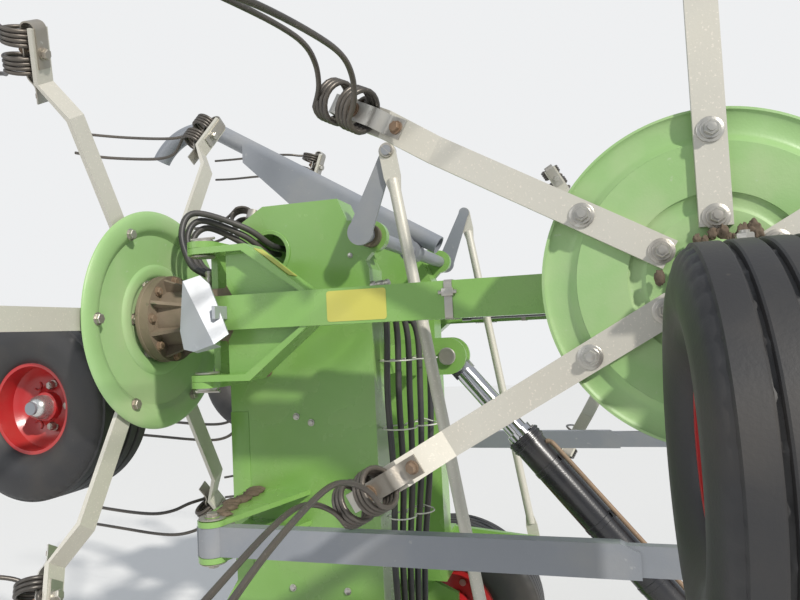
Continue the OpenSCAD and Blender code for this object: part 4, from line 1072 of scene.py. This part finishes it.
def jack_trim():
    """Collars and crank of the parking jack"""
    jack_x, shaft_z = HITCH_X - 0.45, 0.175
    steel, grip = Shape(), Shape()
    steel.ring(moved(jack_x, 0, 0.15), 0.0275, 0.033, 0.02)
    steel.ring(moved(jack_x, 0, 0.014), 0.0275, 0.036, 0.01)
    steel.tube([(jack_x, 0.026, shaft_z), (jack_x, 0.06, shaft_z)], 0.011, 16)
    crank = [(jack_x, 0.056, shaft_z), (jack_x, 0.074, shaft_z), (jack_x + 0.01, 0.08, shaft_z - 0.009),
        (jack_x + 0.05, 0.08, 0.096), (jack_x + 0.056, 0.086, 0.088), (jack_x + 0.056, 0.1, 0.088)]
    steel.tube(smooth_path(crank, 4), 0.0055, 10)
    grip.lathe([(0, 0), (0.01, 0), (0.012, 0.008), (0.0115, 0.06), (0.009, 0.07), (0, 0.071)],
        facing((jack_x + 0.056, 0.098, 0.088), OUT), 20)
    steel.piece("jack_crank", "jack", "grey_paint")
    grip.piece("jack_grip", "jack", "plastic")


# Floor and light

def stage():
    """Pale floor, and a soft sky that the camera sees as white"""
    floor = bpy.data.meshes.new("floor")
    size = 14.0
    floor.from_pydata([(-size, -size, 0), (size, -size, 0), (size, size, 0), (-size, size, 0)], [],
        [[0, 1, 2, 3]])
    m, _, shader = base_material("floor", 0.0, 0.9)
    put(shader, {"Base Color": (0.74, 0.74, 0.73, 1)})
    floor.materials.append(m)
    ob = in_scene("floor", floor)
    world = bpy.data.worlds.new("world")
    bpy.context.scene.world = world
    world.use_nodes = True
    tree = world.node_tree
    back = tree.nodes["Background"]
    put(back, {"Color": (0.83, 0.88, 0.95, 1), "Strength": 0.62})
    white = node(tree, "Background", {"Color": (0.86, 0.87, 0.88, 1), "Strength": 1.0})
    rays = node(tree, "LightPath", {})
    mix = node(tree, "MixShader", {})
    tree.links.new(rays.outputs["Is Camera Ray"], mix.inputs["Fac"])
    tree.links.new(back.outputs["Background"], mix.inputs[1])
    tree.links.new(white.outputs["Background"], mix.inputs[2])
    tree.links.new(mix.outputs["Shader"], tree.nodes["World Output"].inputs["Surface"])


def lamp(name, kind, place, target, energy, size, colour=(1, 1, 1)):
    data = bpy.data.lights.new(name, kind)
    data.energy = energy
    data.color = colour
    if kind == "AREA":
        data.size = size
    else:
        data.angle = radians(size)
    ob = in_scene(name, data)
    ob.location = place
    ob.rotation_euler = (Vector(target) - Vector(place)).to_track_quat("-Z", "Y").to_euler()


def lights():
    """Sun from the right and a soft fill from the left"""
    lamp("sun", "SUN", (3.6, -3.0, 3.2), (0, 0, 0.0), 3.2, 2.5, (1.0, 0.96, 0.9))
    lamp("fill", "AREA", (-4.0, -4.5, 3.5), (-0.8, 0, 1.2), 40.0, 3.0)


stage()
lights()
dress_nodes()
for unit in UNITS:
    tines(unit)
    disc_sheet(unit)
    rotor_bolts(unit)
    gearbox_trim(unit)
    wheel_bracket(unit)
    rotor_mud(unit, len(unit) * 7 + ord(unit[0]) + ord(unit[1]))
wheels()
for side_name in SIDES:
    drive_joint(side_name)
    wing_trim(side_name)
    joint_cover(side_name)
hoses()
lift_trim()
ram_trim()
chassis_trim()
jack_trim()

bpy.context.scene.view_settings.view_transform = "Standard"
